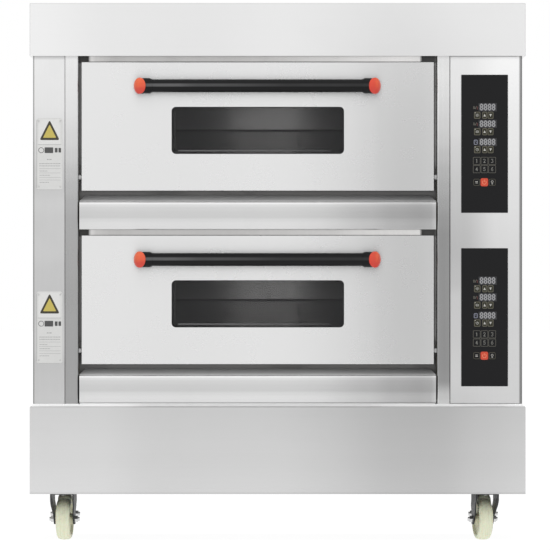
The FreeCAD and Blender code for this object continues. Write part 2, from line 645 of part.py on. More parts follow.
for deck in ("upper", "lower"):
    z = deck_zero[deck]

    skin = new_body(deck + "_door_outer_skin")
    pad(skin, "XZ_Plane", face, door_back, rect(door_left, door_right, dz0, dz1))
    dress(skin, "Fillet", 2.0, lambda e: near(middle(e).y, -VALUES["face_reach"]))
    pocket(skin, "XZ_Plane", face + gauge, door_back + 1, rect(door_left + gauge, door_right - gauge, dz0 + gauge, dz1 - gauge))
    pocket(skin, "XZ_Plane", face - 1, face + gauge + 1, rounded(w0, w1, wz0, wz1, D["window_radius"]))
    pocket(skin, "YZ_Plane", door_left - 1, door_left + gauge + 1, circle(pivot_y, D["pivot_height"], pin + 0.2))
    pocket(skin, "YZ_Plane", door_right - gauge - 1, door_right + 1, circle(pivot_y, D["pivot_height"], pin + 0.2))
    place(skin, z=z)

    inner = new_body(deck + "_door_inner_skin")
    pad(inner, "XZ_Plane", door_back, door_back + gauge, rect(door_left + 2, door_right - 2, dz0 + 2, dz1 - 2))
    plug = (cx - 390, cx + 390, dz0 + 70, dz1 - 66)
    pad(inner, "XZ_Plane", door_back + 1, door_back + gauge + 5, rounded(plug[0], plug[1], plug[2], plug[3], 10))
    dress(inner, "Fillet", 3.0, lambda e: near(middle(e).y, -VALUES["face_reach"] + VALUES["door_depth"] + VALUES["sheet_gauge"] + 5))
    pocket(inner, "XZ_Plane", door_back - 1, door_back + 5, rounded(plug[0] + 4, plug[1] - 4, plug[2] + 4, plug[3] - 4, 6))
    pocket(inner, "XZ_Plane", door_back - 1, door_back + 8, rounded(w0 - 2, w1 + 2, wz0 - 2, wz1 + 2, D["window_radius"]))
    place(inner, z=z)

    fill = new_body(deck + "_door_insulation")
    pad(fill, "XZ_Plane", face + gauge + 0.5, door_back - 0.5,
        rect(door_left + 14, door_right - 14, dz0 + 4, dz1 - 4), rect(w0 - 13, w1 + 13, wz0 - 13, wz1 + 13))
    place(fill, z=z)

    surround = new_body(deck + "_door_window_frame")
    pad(surround, "XZ_Plane", out_glass + glass, in_glass,
        rounded(w0 - 12, w1 + 12, wz0 - 12, wz1 + 12, 14), rounded(w0 + 1.5, w1 - 1.5, wz0 + 1.5, wz1 - 1.5, D["window_radius"]))
    place(surround, z=z)

    for name, y0 in (("outer", out_glass), ("inner", in_glass)):
        pane = new_body(deck + "_door_%s_glass" % name)
        pad(pane, "XZ_Plane", y0, y0 + glass, rounded(w0 - 12, w1 + 12, wz0 - 12, wz1 + 12, 8))
        place(pane, z=z)

    # handle: a straight tube between two elbows with a cap on the cut corner of each elbow
    hx = D["door_centre"] - 1.0
    hy = -D["handle_reach"]
    hz = D["handle_level"]
    bar = new_body(deck + "_door_handle_tube")
    pad(bar, "YZ_Plane", hx - D["handle_tube"] / 2, hx + D["handle_tube"] / 2,
        circle(hy, hz, D["handle_diameter"]), circle(hy, hz, D["handle_diameter"] - 5))
    place(bar, z=z)

    brackets, caps = [], []
    for side in (-1, 1):
        tag = "%s_%d" % (deck, side + 1)
        bx = hx + D["bracket_offset"] * side
        # the sleeve runs from the crossing of the axes to a short taper against the tube
        taper = 6.0
        sleeve = doc.addObject("Part::Cylinder", "sleeve_" + tag)
        sleeve.setExpression("Radius", (D["bracket_diameter"] / 2).text)
        sleeve.setExpression("Height", (D["bracket_offset"] - D["handle_tube"] / 2 - taper).text)
        start = hx + D["handle_tube"] / 2 + taper if side > 0 else hx - D["bracket_offset"]
        sleeve.Placement = Placement(Vector(start.value, hy.value, hz.value), Rotation(Vector(0, 1, 0), 90))
        sleeve.setExpression("Placement.Base.x", start.text)
        sleeve.setExpression("Placement.Base.y", hy.text)
        sleeve.setExpression("Placement.Base.z", hz.text)
        nose = doc.addObject("Part::Cone", "nose_" + tag)
        wide, narrow = (D["bracket_diameter"] / 2).text, (D["handle_diameter"] / 2 + 0.6).text
        nose.setExpression("Radius1", narrow if side > 0 else wide)
        nose.setExpression("Radius2", wide if side > 0 else narrow)
        nose.Height = taper
        start = hx + D["handle_tube"] / 2 if side > 0 else hx - D["handle_tube"] / 2 - taper
        nose.Placement = Placement(Vector(start.value, hy.value, hz.value), Rotation(Vector(0, 1, 0), 90))
        nose.setExpression("Placement.Base.x", start.text)
        nose.setExpression("Placement.Base.y", hy.text)
        nose.setExpression("Placement.Base.z", hz.text)
        knee = doc.addObject("Part::Sphere", "knee_" + tag)
        knee.setExpression("Radius", (D["bracket_diameter"] / 2).text)
        knee.Placement = Placement(Vector(bx.value, hy.value, hz.value), Rotation())
        knee.setExpression("Placement.Base.x", bx.text)
        knee.setExpression("Placement.Base.y", hy.text)
        knee.setExpression("Placement.Base.z", hz.text)
        stem = doc.addObject("Part::Cylinder", "stem_" + tag)
        stem.setExpression("Radius", (D["bracket_diameter"] / 2 - 1).text)
        stem.setExpression("Height", (D["handle_reach"] - D["face_reach"]).text)
        stem.Placement = Placement(Vector(bx.value, 0, hz.value), Rotation(Vector(1, 0, 0), -90))
        stem.setExpression("Placement.Base.x", bx.text)
        stem.setExpression("Placement.Base.y", hy.text)
        stem.setExpression("Placement.Base.z", hz.text)
        foot = doc.addObject("Part::Cylinder", "foot_" + tag)
        foot.setExpression("Radius", (D["bracket_diameter"] / 2).text)
        foot.Height = 5
        foot.Placement = Placement(Vector(bx.value, face.value - 5, hz.value), Rotation(Vector(1, 0, 0), -90))
        foot.setExpression("Placement.Base.x", bx.text)
        foot.setExpression("Placement.Base.y", (face - 5).text)
        foot.setExpression("Placement.Base.z", hz.text)
        elbow = doc.addObject("Part::MultiFuse", "elbow_" + tag)
        elbow.Shapes = [sleeve, nose, knee, stem, foot]
        # the outer corner is cut off by a plane at 45 degrees, 6 mm out from the crossing of the axes
        tool = doc.addObject("Part::Box", "mitre_" + tag)
        tool.Length, tool.Width, tool.Height = 60, 120, 60
        shift = 6.0
        normal = Vector(side, -1, 0)
        normal.normalize()
        tool_rotation = Rotation(Vector(1, 0, 0), normal)
        corner = Vector(bx.value, hy.value, hz.value) + normal * shift + tool_rotation.multVec(Vector(0, -60, -30))
        tool.Placement = Placement(corner, tool_rotation)
        tool.setExpression("Placement.Base.x", (bx + (corner.x - bx.value)).text)
        tool.setExpression("Placement.Base.y", (hy + (corner.y - hy.value)).text)
        tool.setExpression("Placement.Base.z", (hz - 30).text)
        cut = doc.addObject("Part::Cut", "bracket_" + tag)
        cut.Base = elbow
        cut.Tool = tool
        brackets.append(cut)
        # cap: a short disc with a domed face
        radius = VALUES["cap_diameter"] / 2
        disc = doc.addObject("Part::Cylinder", "cap_disc_" + tag)
        disc.setExpression("Radius", (D["cap_diameter"] / 2).text)
        disc.Height = 1.5
        disc_rotation = Rotation(Vector(0, 0, 1), normal)
        base = Vector(bx.value, hy.value, hz.value) + normal * shift
        disc.Placement = Placement(base, disc_rotation)
        disc.setExpression("Placement.Base.x", (bx + (base.x - bx.value)).text)
        disc.setExpression("Placement.Base.y", (hy + (base.y - hy.value)).text)
        disc.setExpression("Placement.Base.z", hz.text)
        rise = 6.0
        ball_radius = (radius * radius + rise * rise) / (2 * rise)
        ball = doc.addObject("Part::Sphere", "cap_ball_" + tag)
        ball.Radius = ball_radius
        centre = base + normal * (1.5 + rise - ball_radius)
        ball.Placement = Placement(centre, disc_rotation)
        ball.setExpression("Placement.Base.x", (bx + (centre.x - bx.value)).text)
        ball.setExpression("Placement.Base.y", (hy + (centre.y - hy.value)).text)
        ball.setExpression("Placement.Base.z", hz.text)
        slab = doc.addObject("Part::Cylinder", "cap_slab_" + tag)
        slab.setExpression("Radius", (D["cap_diameter"] / 2).text)
        slab.Height = 1.5 + rise + 1
        slab.Placement = Placement(base, disc_rotation)
        slab.setExpression("Placement.Base.x", (bx + (base.x - bx.value)).text)
        slab.setExpression("Placement.Base.y", (hy + (base.y - hy.value)).text)
        slab.setExpression("Placement.Base.z", hz.text)
        cap = doc.addObject("Part::MultiCommon", "cap_" + tag)
        cap.Shapes = [slab, ball]
        caps.append(cap)
    group = register(doc.addObject("Part::Compound", "brackets_" + deck), deck + "_door_handle_brackets")
    group.Links = brackets
    place(group, z=z)
    group = register(doc.addObject("Part::Compound", "caps_" + deck), deck + "_door_handle_caps")
    group.Links = caps
    place(group, z=z)

# ---------------------------------------------------------------- repeated small pieces
# hinge pins: fixed in the posts, a collar keeps the door central
pins = []
for deck in ("lower", "upper"):
    zp = deck_zero[deck] + D["pivot_height"]
    left = fuse("hinge_pin_left_" + deck, [
        rod_piece("pin_l_" + deck, pin, 22, (post_left_in - 8, pivot_y, zp), "x"),
        rod_piece("collar_l_" + deck, 16, 5, (post_left_in + 0.5, pivot_y, zp), "x")])
    right = fuse("hinge_pin_right_" + deck, [
        rod_piece("pin_r_" + deck, pin, 22, (post_right_in - 14, pivot_y, zp), "x"),
        rod_piece("collar_r_" + deck, 16, 5, (post_right_in - 5.5, pivot_y, zp), "x")])
    pins += [left, right]
group_of("door_hinge_pins", pins)

# lamps on the chambers' rear walls
lamps = []
for deck in ("lower", "upper"):
    zl = deck_zero[deck] + D["vent_level"] - 10
    lamps.append(fuse("lamp_" + deck, [
        rod_piece("lamp_base_" + deck, 56, 10, (200, D["chamber_rear"] - 10, zl), "y"),
        rod_piece("lamp_lens_" + deck, 40, 12, (200, D["chamber_rear"] - 22, zl), "y")]))
group_of("chamber_lamps", lamps)

# temperature probes: one high and one low at the rear of each chamber
probes = []
for deck in ("lower", "upper"):
    for place_name, level in (("high", 290), ("low", 190)):
        zt = deck_zero[deck] + level
        tag = deck + "_" + place_name
        probes.append(fuse("probe_" + tag, [
            rod_piece("probe_nut_" + tag, 16, 7, (250, D["chamber_rear"] - 7, zt), "y"),
            rod_piece("probe_rod_" + tag, 6, 70, (250, D["chamber_rear"] - 70, zt), "y")]))
group_of("temperature_probes", probes)

# rear steam outlets
vents = []
for deck in ("lower", "upper"):
    zv = deck_zero[deck] + D["vent_level"]
    start_y = D["chamber_rear"] + gauge
    outer = fuse("vent_outer_" + deck, [
        rod_piece("vent_tube_" + deck, D["vent_diameter"] - 2, D["vent_reach"] - start_y, (D["vent_centre"], start_y, zv), "y"),
        rod_piece("vent_sleeve_" + deck, D["vent_diameter"], D["vent_reach"] - back, (D["vent_centre"], back, zv), "y")])
    bore = rod_piece("vent_bore_" + deck, D["vent_diameter"] - 4, D["vent_reach"] - start_y + 4, (D["vent_centre"], start_y - 2, zv), "y")
    cut = doc.addObject("Part::Cut", "vent_" + deck)
    cut.Base, cut.Tool = outer, bore
    vents.append(cut)
group_of("steam_vent_pipes", vents)

# control boards behind the membrane panels, with their display modules
boards = []
for deck in ("lower", "upper"):
    zb = deck_zero[deck] + D["panel_bottom"] + 35
    parts = [block("board_" + deck, (107, 1.6, 270), (panel_x0 + 4, face + 12, zb))]
    for n, (dx, dz) in enumerate(((8, 6), (107, 6), (8, 264), (107, 264))):
        parts.append(rod_piece("standoff_%s_%d" % (deck, n), 6, 10.6, (panel_x0 + dx, face + gauge, zb + dz), "y"))
    for n, level in enumerate((167, 206, 246)):
        parts.append(block("module_%s_%d" % (deck, n), (42, 9, 18), (panel_x0 + 44, face + 3, zb + level - 8)))
    parts.append(block("supply_%s" % deck, (50, 34, 60), (panel_x0 + 30, face + 13, zb + 30)))
    boards.append(fuse("board_set_" + deck, parts))
group_of("control_boards", boards)

# contactors on the inner face of the back panel
contactors = []
for deck in ("lower", "upper"):
    for n in range(2):
        tag = "%s_%d" % (deck, n)
        zc = deck_zero[deck] + 210
        x0 = 446 + n * 60
        contactors.append(fuse("contactor_" + tag, [
            block("contactor_body_" + tag, (45, 70, 76), (x0, back - gauge - 70, zc)),
            block("contactor_step_" + tag, (30, 16, 44), (x0 + 7.5, back - gauge - 85, zc + 16))]))
group_of("contactors", contactors)

# rating plates on the left column face
plates = []
rivets = []
plate_width, plate_height, cut_corner = 64.0, 178.0, 6.0
for deck in ("lower", "upper"):
    zr = deck_zero[deck] + 95.5
    x0 = -body_half + 8.5
    blank = block("plate_blank_" + deck, (plate_width, 0.8, plate_height), (x0, face - 0.8, zr))
    corners = []
    for n, (dx, dz) in enumerate(((0, 0), (plate_width, 0), (0, plate_height), (plate_width, plate_height))):
        cutter = block("plate_cutter_%s_%d" % (deck, n), (cut_corner, 4, cut_corner), (x0 + dx, face - 2.5, zr + dz))
        # a square turned by 45 degrees about its middle takes the corner off
        reach = cut_corner / 2 ** 0.5
        cutter.Placement = Placement(Vector((x0 + dx).value, (face - 2.5).value, (zr + dz - cut_corner * 0.7071068).value),
                                     Rotation(Vector(0, 1, 0), -45))
        cutter.setExpression("Placement.Base.z", (zr + dz - cut_corner * 0.7071068).text)
        corners.append(cutter)
    trimmed = doc.addObject("Part::Cut", "plate_" + deck)
    trimmed.Base = blank
    trimmed.Tool = fuse("plate_corners_" + deck, corners)
    plates.append(trimmed)
    for n, (dx, dz) in enumerate(((5.5, 9), (58.5, 9), (5.5, 170), (58.5, 170))):
        rivets.append(rod_piece("rivet_%s_%d" % (deck, n), 4.4, 1.4, (x0 + dx, face - 2.2, zr + dz), "y"))
group_of("rating_plates", plates)

# screws of the back panel and the hood, and the rivets of the rating plates
screws = []
count = 0
for x in (-588.0, 588.0):
    for z in (380.0, 575.0, 765.0, 955.0, 1150.0):
        screws.append(rod_piece("screw_%d" % count, 9, 3, (x, back, z), "y"))
        count += 1
for x in (-300.0, 0.0, 300.0):
    for z in (346.0, 1182.0):
        screws.append(rod_piece("screw_%d" % count, 9, 3, (x, back, z), "y"))
        count += 1
for x in (-590.0, -300.0, 0.0, 300.0, 590.0):
    for z in (hood_bottom + 20, D["base_top"] - 30):
        screws.append(rod_piece("screw_%d" % count, 9, 3, (x, rear, z), "y"))
        count += 1
group_of("screws_and_rivets", screws + rivets)

# cable gland in the back panel
gland_outer = fuse("gland_outer", [
    rod_piece("gland_thread", 24.6, 22, (D["gland_centre"], back - 12, D["gland_level"]), "y"),
    rod_piece("gland_nut_in", 34, 5, (D["gland_centre"], back - gauge - 5, D["gland_level"]), "y"),
    rod_piece("gland_flange", 34, 7, (D["gland_centre"], back, D["gland_level"]), "y"),
    rod_piece("gland_dome", 28, 22, (D["gland_centre"], back, D["gland_level"]), "y")])
gland_bore = rod_piece("gland_bore", 14, 60, (D["gland_centre"], back - 20, D["gland_level"]), "y")
gland = register(doc.addObject("Part::Cut", "gland_cut"), "cable_gland")
gland.Base, gland.Tool = gland_outer, gland_bore
place(gland)

# ---------------------------------------------------------------- casters
wheel_r = D["wheel_diameter"] / 2
crown = D["caster_mount"] - 0.4
plates = []
CASTERS = (
    ("front_left", -D["caster_left"], -D["caster_front"], "yaw_front_left"),
    ("front_right", D["caster_right"], -D["caster_front"], "yaw_front_right"),
    ("rear_left", -D["caster_left_rear"], D["caster_rear"], "yaw_rear_left"),
    ("rear_right", D["caster_right_rear"], D["caster_rear"], "yaw_rear_right"),
)
for name, px, py, yaw in CASTERS:
    # top plate with its king pin and four bolt heads
    pieces = [block("plate_top_" + name, (96, 80, 4), (px - 48, py - 40, D["caster_mount"])),
              rod_piece("king_pin_" + name, 12, 9.6, (px, py, D["caster_mount"] - 9.6), "z")]
    for n, (dx, dy) in enumerate(((-41, -32), (41, -32), (-41, 32), (41, 32))):
        pieces.append(rod_piece("bolt_%s_%d" % (name, n), 13, 5, (px + dx, py + dy, D["caster_mount"] - 4), "z"))
    plates.append(fuse("caster_plate_" + name, pieces))

    trail = D["caster_trail"]
    inside = D["wheel_width"] / 2 + 5.4
    leg = 3.5
    # fork: a crown disc over one bent strap whose legs close in on the wheel and lean back to the axle
    fork = new_body("caster_%s_fork" % name)
    top = D["caster_mount"] - 4.2
    flare = inside + leg + 3.4
    pad(fork, "XZ_Plane", -26, trail + 14, polygon(strip_points(
        [(-inside - leg, wheel_r - 14), (-inside - leg, wheel_r + 13), (-flare, wheel_r + 34), (-flare, top),
         (flare, top), (flare, wheel_r + 34), (inside + leg, wheel_r + 13), (inside + leg, wheel_r - 14)], leg, -1)))
    dress(fork, "Fillet", 3.0, lambda e: along(e, 1) and near(middle(e).z, VALUES["caster_mount"] - 4.2) and abs(middle(e).x) > 20)
    side_view = [(-24, top + 1), (-24, D["caster_mount"] - 22), (trail - 13, wheel_r - 4),
                 (trail - 7, wheel_r - 13), (trail + 7, wheel_r - 13), (trail + 13, wheel_r - 4),
                 (26.5, D["caster_mount"] - 22), (26.5, top + 1)]
    pocket(fork, "YZ_Plane", -flare - 1, flare + 1, rect(-60, 80, 20, D["caster_mount"] + 5), polygon(side_view))
    pad(fork, "XY_Plane", top - 0.5, crown, circle(0, 0, 52))
    pocket(fork, "XY_Plane", D["caster_mount"] - 12, crown + 1, circle(0, 0, 12.4))
    pocket(fork, "YZ_Plane", -inside - leg - 4, inside + leg + 4, circle(trail, wheel_r, D["axle_diameter"]))
    place(fork, px, py, 0, yaw)

    # axle bolt with a hexagon head and a nut
    axle = new_body("caster_%s_axle" % name)
    pad(axle, "YZ_Plane", -inside - leg - 11.5, inside + leg + 11.5, circle(trail, wheel_r, D["axle_diameter"]))
    hexagon = [(trail + 9 * c, wheel_r + 9 * s) for c, s in
               ((1, 0), (0.5, 0.8660254), (-0.5, 0.8660254), (-1, 0), (-0.5, -0.8660254), (0.5, -0.8660254))]
    pad(axle, "YZ_Plane", -inside - leg - 7.5, -inside - leg, polygon(hexagon))
    pad(axle, "YZ_Plane", inside + leg, inside + leg + 7.5, polygon(hexagon))
    place(axle, px, py, 0, yaw)

    # wheel: solid nylon with recessed sides, a hub and a bore, turned about the axle
    wheel = new_body("caster_%s_wheel" % name)
    section = new_sketch(wheel, "XY_Plane", wheel_r)
    rim, hub, hw = D["wheel_diameter"] / 2, D["axle_diameter"] / 2 + 0.06, D["wheel_width"] / 2
    add_polygon(section, [
        (-hw - 4.8, trail + hub), (hw + 4.8, trail + hub), (hw + 4.8, trail + 11), (hw - 5, trail + 16.5),
        (hw - 5, trail + rim * 0.70), (hw, trail + rim * 0.76), (hw, trail + rim - 7), (hw - 2, trail + rim - 3),
        (hw - 6.5, trail + rim - 0.8), (3, trail + rim), (-3, trail + rim), (-hw + 6.5, trail + rim - 0.8), (-hw + 2, trail + rim - 3),
        (-hw, trail + rim - 7), (-hw, trail + rim * 0.76), (-hw + 5, trail + rim * 0.70),
        (-hw + 5, trail + 16.5), (-hw - 4.8, trail + 11)])
    axis_line = section.addGeometry(Part.LineSegment(Vector(-40, VALUES["caster_trail"], 0), Vector(40, VALUES["caster_trail"], 0)), True)
    fix_point(section, axis_line, 1, (-40.0, trail))
    fix_point(section, axis_line, 2, (40.0, trail))
    turned = wheel.newObject("PartDesign::Revolution", "Turned_" + name)
    turned.Profile = section
    turned.ReferenceAxis = (section, ["Axis0"])
    turned.Angle = 360
    place(wheel, px, py, 0, yaw)
group_of("caster_plates", plates)

# ---------------------------------------------------------------- check and write
doc.recompute()
problems = []
for obj in doc.Objects:
    if any(word in ("Invalid", "Error") for word in obj.State):
        problems.append("%s (%s): %s" % (obj.Name, obj.Label, obj.State))
labels = [obj.Label for obj in NODES]
if len(labels) != len(set(labels)) or len(labels) > 60:
    problems.append("labels repeat or are too many: %d" % len(labels))
for obj in NODES:
    shape = obj.Shape
    if shape.isNull() or not shape.isValid() or not shape.Solids or shape.Volume <= 0:
        problems.append("bad shape: " + obj.Label)
if problems:
    raise RuntimeError("\n".join(problems))

os.makedirs("parts", exist_ok=True)
total = FreeCAD.BoundBox()
for obj in NODES:
    obj.Shape.exportStep(os.path.join("parts", obj.Label + ".step"))
    total.add(obj.Shape.BoundBox)
    box = obj.Shape.BoundBox
    print("%-30s solids %2d  vol %10.1f cm3  x %.1f..%.1f  y %.1f..%.1f  z %.1f..%.1f" % (
        obj.Label, len(obj.Shape.Solids), obj.Shape.Volume / 1000,
        box.XMin, box.XMax, box.YMin, box.YMax, box.ZMin, box.ZMax))
print("nodes", len(NODES), "box", total)
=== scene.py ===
import math

import bmesh
import bpy
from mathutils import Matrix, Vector


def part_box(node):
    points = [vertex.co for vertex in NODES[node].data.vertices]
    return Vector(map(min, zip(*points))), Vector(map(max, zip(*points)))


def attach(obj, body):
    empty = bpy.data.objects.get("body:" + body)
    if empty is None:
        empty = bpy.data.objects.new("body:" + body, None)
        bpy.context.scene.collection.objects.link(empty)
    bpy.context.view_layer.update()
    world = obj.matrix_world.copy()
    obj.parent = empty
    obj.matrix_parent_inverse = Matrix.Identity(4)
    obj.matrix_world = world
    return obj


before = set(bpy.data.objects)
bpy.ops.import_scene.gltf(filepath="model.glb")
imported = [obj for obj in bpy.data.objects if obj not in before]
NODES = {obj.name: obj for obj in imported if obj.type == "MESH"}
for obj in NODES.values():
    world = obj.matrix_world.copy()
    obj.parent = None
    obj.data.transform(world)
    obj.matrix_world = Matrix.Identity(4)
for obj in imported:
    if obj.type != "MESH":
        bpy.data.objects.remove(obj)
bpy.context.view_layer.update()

scene = bpy.context.scene
scene.view_settings.view_transform = "Standard"
scene.view_settings.look = "None"
scene.view_settings.exposure = 0.0
scene.view_settings.gamma = 1.0

DECKS = {"upper": 0.0, "lower": -0.427}
MM = 0.001


# ---------------------------------------------------------------- node trees

class Tree:
    """One material with its node tree, and short ways to add nodes to it."""

    def __init__(self, name, shader="ShaderNodeBsdfPrincipled"):
        self.material = bpy.data.materials.new(name)
        self.material.use_nodes = True
        self.tree = self.material.node_tree
        self.tree.nodes.clear()
        self.out = self.tree.nodes.new("ShaderNodeOutputMaterial")
        self.shader = self.tree.nodes.new(shader)
        self.tree.links.new(self.shader.outputs[0], self.out.inputs["Surface"])
        self._object = None

    def add(self, kind, **settings):
        node = self.tree.nodes.new(kind)
        for key, value in settings.items():
            setattr(node, key, value)
        return node

    def put(self, socket, value):
        if isinstance(value, bpy.types.NodeSocket):
            self.tree.links.new(value, socket)
        else:
            socket.default_value = value

    def set(self, **values):
        names = {"color": "Base Color", "rough": "Roughness", "metal": "Metallic", "ior": "IOR", "alpha": "Alpha",
                 "spec": "Specular IOR Level", "aniso": "Anisotropic", "aniso_turn": "Anisotropic Rotation",
                 "normal": "Normal", "tangent": "Tangent", "coat": "Coat Weight", "coat_rough": "Coat Roughness",
                 "emission": "Emission Color", "glow": "Emission Strength", "transmission": "Transmission Weight",
                 "subsurface": "Subsurface Weight", "sub_scale": "Subsurface Scale", "sheen": "Sheen Weight"}
        for key, value in values.items():
            self.put(self.shader.inputs[names[key]], value)

    def here(self):
        if self._object is None:
            self._object = self.add("ShaderNodeTexCoord").outputs["Object"]
        return self._object

    def split(self, vector):
        node = self.add("ShaderNodeSeparateXYZ")
        self.put(node.inputs[0], vector)
        return node.outputs

    def join(self, x, y, z):
        node = self.add("ShaderNodeCombineXYZ")
        for socket, value in zip(node.inputs, (x, y, z)):
            self.put(socket, value)
        return node.outputs[0]

    def math(self, operation, a, b=0.0, clamp=False):
        node = self.add("ShaderNodeMath", operation=operation, use_clamp=clamp)
        self.put(node.inputs[0], a)
        self.put(node.inputs[1], b)
        return node.outputs[0]

    def scaled(self, vector, scale, shift=(0, 0, 0)):
        node = self.add("ShaderNodeMapping")
        self.put(node.inputs["Vector"], vector)
        node.inputs["Scale"].default_value = scale
        node.inputs["Location"].default_value = shift
        return node.outputs[0]

    def noise(self, vector, scale=1.0, detail=2.0, rough=0.5, distortion=0.0):
        node = self.add("ShaderNodeTexNoise")
        self.put(node.inputs["Vector"], vector)
        node.inputs["Scale"].default_value = scale
        node.inputs["Detail"].default_value = detail
        node.inputs["Roughness"].default_value = rough
        node.inputs["Distortion"].default_value = distortion
        return node.outputs[0]

    def span(self, value, a, b, c, d, smooth=False):
        node = self.add("ShaderNodeMapRange")
        if smooth:
            node.interpolation_type = "SMOOTHSTEP"
        self.put(node.inputs["Value"], value)
        for key, number in (("From Min", a), ("From Max", b), ("To Min", c), ("To Max", d)):
            node.inputs[key].default_value = number
        return node.outputs[0]

    def ramp(self, value, stops, mode="LINEAR"):
        node = self.add("ShaderNodeValToRGB")
        node.color_ramp.interpolation = mode
        elements = node.color_ramp.elements
        while len(elements) < len(stops):
            elements.new(0.5)
        for element, (position, colour) in zip(elements, stops):
            element.position = position
            if isinstance(colour, (int, float)):
                colour = (colour, colour, colour)
            element.color = (colour[0], colour[1], colour[2], 1.0)
        self.put(node.inputs[0], value)
        return node.outputs[0]

    def blend(self, factor, a, b, mode="MIX"):
        node = self.add("ShaderNodeMix", data_type="RGBA", blend_type=mode)
        self.put(node.inputs[0], factor)
        for socket, value in ((node.inputs[6], a), (node.inputs[7], b)):
            self.put(socket, (*value, 1.0) if isinstance(value, tuple) and len(value) == 3 else value)
        return node.outputs[2]

    def bump(self, height, strength, distance):
        node = self.add("ShaderNodeBump")
        node.inputs["Strength"].default_value = strength
        node.inputs["Distance"].default_value = distance
        self.put(node.inputs["Height"], height)
        return node.outputs[0]

    def along_axis(self, axis, stops):
        """A smooth tone along one axis of the object: stops are (millimetres, tone)."""
        low, high = stops[0][0], stops[-1][0]
        value = self.span(self.split(self.here())["XYZ".index(axis)], low * MM, high * MM, 0.0, 1.0)
        return self.ramp(value, [((p - low) / (high - low), t) for p, t in stops], "EASE")


def linear(*srgb):
    """Display values 0..255 to linear numbers."""
    out = []
    for v in srgb:
        v = v / 255.0
        out.append(v / 12.92 if v <= 0.04045 else ((v + 0.055) / 1.055) ** 2.4)
    return tuple(out) if len(out) > 1 else out[0]


def grain_vector(t, upright):
    """First component runs along the brushing, the other two across it."""
    x, y, z = t.split(t.here())
    if upright:
        return t.join(z, x, y)
    geometry = t.add("ShaderNodeNewGeometry")
    side = t.math("GREATER_THAN", t.math("ABSOLUTE", t.split(geometry.outputs["Normal"])[0]), 0.7)
    along = t.math("ADD", t.math("MULTIPLY", y, side), t.math("MULTIPLY", x, t.math("SUBTRACT", 1.0, side)))
    across = t.math("ADD", t.math("MULTIPLY", x, side), t.math("MULTIPLY", y, t.math("SUBTRACT", 1.0, side)))
    return t.join(along, across, z)


def brushed_steel(name, colour, rough=0.3, upright=False, aniso=0.55, tones=(), fine=0.05, streak=0.035,
                  mottle=0.05, smudge=0.05, bump=0.05, metal=1.0, metal_tones=None, drift=0.03):
    t = Tree(name)
    if metal_tones is not None:
        metal = t.along_axis(*metal_tones)
    grain = grain_vector(t, upright)
    hair = t.noise(t.scaled(grain, (7, 1500, 1500)), 1.0, 2.0, 0.6)
    lines = t.noise(t.scaled(grain, (1.6, 190, 190), (3.1, 0.4, 7.7)), 1.0, 3.0, 0.6)
    cloud = t.noise(t.scaled(t.here(), (2.6, 2.6, 3.4), (0.3, 5.2, 1.9)), 1.0, 3.0, 0.5)
    prints = t.span(t.noise(t.scaled(t.here(), (11, 11, 9), (2.0, 1.0, 4.0)), 1.0, 4.0, 0.55), 0.52, 0.72, 0.0, 1.0)
    shade = t.math("MULTIPLY", t.span(hair, 0.25, 0.75, 1.0 - fine, 1.0), t.span(lines, 0.25, 0.75, 1.0 - streak, 1.0))
    shade = t.math("MULTIPLY", shade, t.span(cloud, 0.3, 0.7, 1.0 - mottle, 1.0))
    shade = t.math("MULTIPLY", shade, t.span(prints, 0.0, 1.0, 1.0, 1.0 - smudge * 0.35))
    for axis, stops, *only in tones:
        tone = t.along_axis(axis, stops)
        if only:
            # this tone holds only where the second one is up
            tone = t.math("SUBTRACT", 1.0, t.math("MULTIPLY", t.along_axis(*only[0]), t.math("SUBTRACT", 1.0, tone)))
        shade = t.math("MULTIPLY", shade, tone)
    base = t.blend(shade, (0.0, 0.0, 0.0), colour)
    roughness = t.math("ADD", t.span(lines, 0.2, 0.8, rough - drift, rough + drift), t.math("MULTIPLY", prints, smudge))
    tangent = t.add("ShaderNodeTangent", direction_type="RADIAL", axis="Z" if upright else "X")
    t.set(color=base, rough=roughness, metal=metal, aniso=aniso, tangent=tangent.outputs[0],
          normal=t.bump(hair, bump, 0.0003))
    return t.material


def plain_metal(name, colour, rough, mottle=0.1, speck=220, bump=0.08, metal=1.0, dust=None):
    """Machined, plated or mill-finish metal: mottled, with fine pitting and uneven gloss."""
    t = Tree(name)
    cloud = t.noise(t.here(), 14, 4.0, 0.55)
    grit = t.noise(t.here(), speck, 3.0, 0.65)
    scratch = t.noise(t.scaled(t.here(), (40, 900, 900)), 1.0, 2.0, 0.6)
    shade = t.math("MULTIPLY", t.span(cloud, 0.3, 0.7, 1.0 - mottle, 1.0), t.span(grit, 0.3, 0.7, 0.93, 1.0))
    base = t.blend(shade, (0.0, 0.0, 0.0), colour)
    if dust is not None:
        base = t.blend(t.span(cloud, 0.5, 0.75, 0.0, 0.5), base, dust)
    t.set(color=base, metal=metal, rough=t.span(t.math("ADD", grit, scratch), 0.7, 1.3, rough - 0.05, rough + 0.08),
          normal=t.bump(grit, bump, 0.0004))
    return t.material


